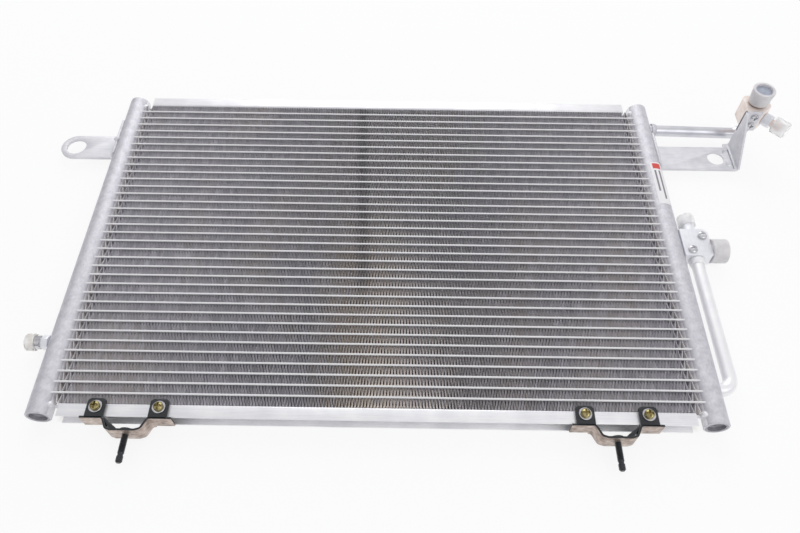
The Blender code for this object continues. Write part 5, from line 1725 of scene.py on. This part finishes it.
@dataclass
class Foot:
    """Dip-coated foot with two tabs, a pressed hat, a stud and its washers."""

    side: Side
    sheet: float = 2.0 * MM
    length: float = 77.0 * MM
    tab_spacing: float = 53.3 * MM
    tab_width: float = 16.0 * MM
    tab_reach: float = 18.0 * MM
    tab_hole: float = 2.4 * MM
    hat_width: float = 38.0 * MM
    hat_flat: float = 20.0 * MM
    hat_drop: float = 10.5 * MM
    bend: float = 3.0 * MM
    narrowed: float = 3.0 * MM

    def build(self) -> None:
        """Make the bracket, the stud and the washers."""
        name = f"{self.side.name.lower()}_foot"
        box = Span.of(f"{name}_bracket")
        strip = box.low.y + self.hat_drop + self.sheet / 2.0
        tabs = [self.tab(box, side, Span.of(f"{name}_left_washer").centre.y)
                for side in (-1.0, 1.0)]
        bracket = gathered(self.strap(box, strip), self.gusset(box, strip), *tabs)
        # Outer faces take a painted reflection of the floor on the black coat
        add_piece(f"{name}_pressing", bracket, Finish.COAT, Slot.BLACK, f"{name}_bracket",
                  other=Finish.THIN_COAT, where=lambda face: face.normal.y < -0.15
                  and abs(face.normal.z) < 0.3 and face.center.y < strip)
        self.build_stud(name)
        outline = mm((2.4, 0.0), (5.4, 0.0), (5.6, 0.2), (5.6, 0.7), (5.3, 1.0), (2.4, 1.0))
        for end in ("left", "right"):
            washer = Span.of(f"{name}_{end}_washer")
            place = Matrix.Translation((*washer.centre.xy, washer.low.z))
            add_piece(f"{self.side.name.lower()}_{end}_washer", turned(outline, 40, place),
                      Finish.STEEL, Slot.STEEL, f"{name}_{end}_washer")

    def strap(self, box: Span, strip: float) -> Mesh:
        """Make the strip with its hat and its narrower ends.

        Args:
            box: Box of the foot.
            strip: Middle of the strip's sheet along Y.

        Returns:
            The mesh.
        """
        centre = box.centre.x
        top, flat, lip = self.hat_width / 2.0, self.hat_flat / 2.0, self.length / 2.0
        half = [(flat, strip - self.hat_drop), ((top + flat) / 2.0, strip - 0.86 * self.hat_drop),
                (top, strip), (lip, strip)]
        corners = [(centre - x, y) for x, y in reversed(half)] + [(centre + x, y) for x, y in half]
        line = rounded(corners, (0.0, *(self.bend,) * 6, 0.0), 5)
        ends = []
        for side in (-1.0, 1.0):
            near, far = sorted((centre + side * (top + 3.0 * MM), centre + side * (lip + MM)))
            ends.append(prism(rectangle(near, strip - 3.0 * MM, far, strip + 3.0 * MM),
                              box.low.z - MM, box.low.z + self.narrowed))
        return softened(cut(bent(line, self.sheet, box.low.z, box.high.z), *ends), 0.45, 3)

    def gusset(self, box: Span, strip: float) -> Mesh:
        """Make the pressed gusset inside the hat's outer shoulder.

        Args:
            box: Box of the foot.
            strip: Middle of the strip's sheet along Y.

        Returns:
            The mesh.
        """
        top, flat = self.hat_width / 2.0, self.hat_flat / 2.0
        low = strip - self.hat_drop + self.sheet / 2.0 - 0.2 * MM
        corners = [(top, strip - 0.5 * MM), (flat + MM, low), (flat - 4.5 * MM, low),
                   (flat - 3.5 * MM, low + 1.6 * MM), (top - 1.5 * MM, strip + 0.6 * MM)]
        outline = [(box.centre.x + self.side.value * x, y) for x, y in corners]
        return softened(prism(outline, box.high.z - 7.0 * MM, box.high.z - 1.2 * MM), 0.4)

    def tab(self, box: Span, side: float, hole: float) -> Mesh:
        """Make one tab with its screw hole.

        Args:
            box: Box of the foot.
            side: Which tab, as a sign along X.
            hole: Middle of the hole along Y.

        Returns:
            The mesh.
        """
        middle = box.centre.x + side * self.tab_spacing / 2.0
        outer = box.low.y + self.hat_drop
        outline = rounded(rectangle(middle - self.tab_width / 2.0, outer + 0.4 * MM,
                                    middle + self.tab_width / 2.0, outer + self.tab_reach),
                          (0.0, 0.0, 3.6 * MM, 3.6 * MM), 8)
        bore = turned(rod(self.tab_hole, -3.0 * MM, 3.0 * MM), 20,
                      Matrix.Translation((middle, hole, box.high.z)))
        return softened(cut(prism(outline, box.high.z - self.sheet, box.high.z), bore), 0.45, 3)

    def build_stud(self, name: str) -> None:
        """Make the stud, with its thread and grooved tip.

        Args:
            name: Start of the foot's names.
        """
        box = Span.of(f"{name}_stud")
        seat = Vector((box.centre.x, box.high.y - 2.4 * MM, box.centre.z))
        tip = (seat.y - box.low.y) / MM
        outline = mm((0.0, -2.4), (5.6, -2.4), (5.9, -2.0), (5.9, 0.0), (2.5, 0.0))
        outline += threaded(2.8 * MM, MM, (tip - 7.5) * MM, MM)
        outline += mm((2.3, tip - 7.0), (2.3, tip - 6.0), (2.8, tip - 5.6), (2.8, tip - 1.2),
                      (1.7, tip), (0.0, tip))
        add_piece(f"{self.side.name.lower()}_stud", turned(outline, 32, placed(-Y_AXIS, seat)),
                  Finish.COAT, Slot.BLACK, f"{name}_stud")


@dataclass
class Label:
    """Sticker wrapped over the front of the right header."""

    start: float = 44.0
    end: float = 112.0
    radius: float = 11.12 * MM
    thickness: float = 0.12 * MM
    steps: int = 20

    def build(self) -> None:
        """Make the curved sheet with its UV map."""
        box = Span.of("header_label")
        axis = Side.RIGHT.axis
        mesh = bmesh.new()
        uv = mesh.loops.layers.uv.new("sticker")
        layers = []
        for radius in (self.radius, self.radius + self.thickness):
            line = arc((axis.x, axis.z), radius, self.start, self.end, self.steps)
            layers.append([[mesh.verts.new((x, y, z)) for x, z in line]
                           for y in (box.low.y, box.high.y)])
        for low, high in layers:
            for i in range(self.steps):
                face = mesh.faces.new((low[i], low[i + 1], high[i + 1], high[i]))
                marks = ((i, 0.0), (i + 1, 0.0), (i + 1, 1.0), (i, 1.0))
                for loop, (across, along) in zip(face.loops, marks):
                    loop[uv].uv = (1.0 - across / self.steps, along)
        inner, outer = layers
        for low, high in zip(inner, outer):
            for i in range(self.steps):
                mesh.faces.new((low[i], low[i + 1], high[i + 1], high[i]))
        for i in (0, self.steps):
            mesh.faces.new((inner[0][i], inner[1][i], outer[1][i], outer[0][i]))
        add_piece("sticker", closed(mesh, Matrix()), Finish.LABEL, Slot.LABEL, "header_label")


# Stage

@dataclass
class Studio:
    """White floor, soft lamps and the camera at the photograph's angle."""

    camera_from_core: tuple[float, float, float] = (0.019640, -0.424530, 0.561470)
    camera_turn: tuple[float, float, float] = (0.6104, -0.0057, 0.0143)
    lens: float = 31.5

    def build(self) -> None:
        """Set up the floor, the world, the lamps and the camera."""
        floor = piece_object("studio_floor", prism(rectangle(-3.0, -3.0, 3.0, 3.0), -0.01, -0.0002))
        floor.data.materials.append(Finish.FLOOR.material())
        self.light_world()
        self.lamp("key_lamp", Vector((-0.1, 1.6, 0.9)), 1.6, 12.0)
        self.lamp("fill_lamp", Vector((0.9, -0.8, 1.2)), 1.0, 3.0)
        scene = bpy.context.scene
        camera = bpy.data.objects.new("photo_camera", bpy.data.cameras.new("photo_camera"))
        camera.data.lens = self.lens
        camera.data.sensor_width = 36.0
        camera.data.sensor_fit = "HORIZONTAL"
        camera.location = core_centre() + Vector(self.camera_from_core)
        camera.rotation_euler = Euler(self.camera_turn)
        scene.collection.objects.link(camera)
        scene.camera = camera
        scene.view_settings.view_transform = "Standard"

    def lamp(self, name: str, place: Vector, size: float, power: float) -> None:
        """Add one soft square lamp that faces the coil.

        Args:
            name: The lamp's name.
            place: Where it hangs.
            size: Its side.
            power: Its power, in watts.
        """
        data = bpy.data.lights.new(name, "AREA")
        data.size = size
        data.energy = power
        item = bpy.data.objects.new(name, data)
        item.location = place
        item.rotation_euler = (-place).to_track_quat("-Z", "Y").to_euler()
        bpy.context.scene.collection.objects.link(item)

    def light_world(self) -> None:
        """Pale room: white where the camera looks, darker towards the horizon for reflections."""
        world = bpy.data.worlds.new("studio_room")
        world.use_nodes = True
        world.node_tree.nodes.clear()
        add = partial(add_node, world.node_tree)
        spot = add("ShaderNodeTexCoord").outputs["Generated"]
        spot = add("ShaderNodeSeparateXYZ", [spot]).outputs
        side = add(RANGE, [spot["X"], -0.9, 0.1])
        edge = add("ShaderNodeMix", {0: side, 6: linear("737279"), 7: linear("E4E3E8")},
                   data_type="RGBA").outputs[2]
        height = add(RANGE, [spot["Z"], 0.0, 0.7])
        room = add("ShaderNodeMix", {0: height, 6: edge, 7: linear("FBFBFD")},
                   data_type="RGBA").outputs[2]
        soft = add("ShaderNodeBackground", [room, 0.80])
        white = add("ShaderNodeBackground", [linear("FFFFFF"), 1.0])
        seen = add("ShaderNodeLightPath").outputs["Is Camera Ray"]
        add("ShaderNodeOutputWorld", [add("ShaderNodeMixShader", [seen, soft, white])])
        bpy.context.scene.world = world


def paint_inner_baffles() -> None:
    """Give the baffles inside the headers their finish."""
    for name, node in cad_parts.items():
        if name.endswith("baffle"):
            node.data.materials.clear()
            node.data.materials.append(Finish.HEADER.material())


def main() -> None:
    """Build every sub-assembly in order."""
    logging.basicConfig(level=logging.INFO, format="%(name)s: %(message)s")
    Studio().build()
    Core().build()
    for side in Side:
        Header(side).build()
    for name in ("upper_side_plate", "lower_side_plate"):
        SidePlate(name).build()
    for assembly in (MountingEar, InletBracket, Inlet, Outlet, PressurePort):
        assembly().build()
    for side in Side:
        Foot(side).build()
    ends = ("left", "right")
    foot_screws = tuple(f"{foot}_foot_{end}_screw" for foot in ends for end in ends)
    Screws("foot_screws", foot_screws, Drive.CROSS, 8.2 * MM, 3.0 * MM, 4.2 * MM, 11.0 * MM,
           Z_AXIS, Finish.ZINC, Slot.ZINC).build()
    block_screws = ("outlet_block_rear_screw", "outlet_block_front_screw")
    Screws("block_screws", block_screws, Drive.SLOT, 9.0 * MM, 2.8 * MM, 4.0 * MM, 15.5 * MM,
           Z_AXIS, Finish.STEEL, Slot.STEEL).build()
    strap_screws = ("inlet_bracket_lower_screw", "inlet_bracket_upper_screw")
    Screws("strap_screws", strap_screws, Drive.CROSS, 7.8 * MM, 2.2 * MM, 4.0 * MM, 8.0 * MM,
           -Y_AXIS, Finish.STEEL, Slot.STEEL).build()
    Label().build()
    paint_inner_baffles()


if __name__ == "__main__":
    main()
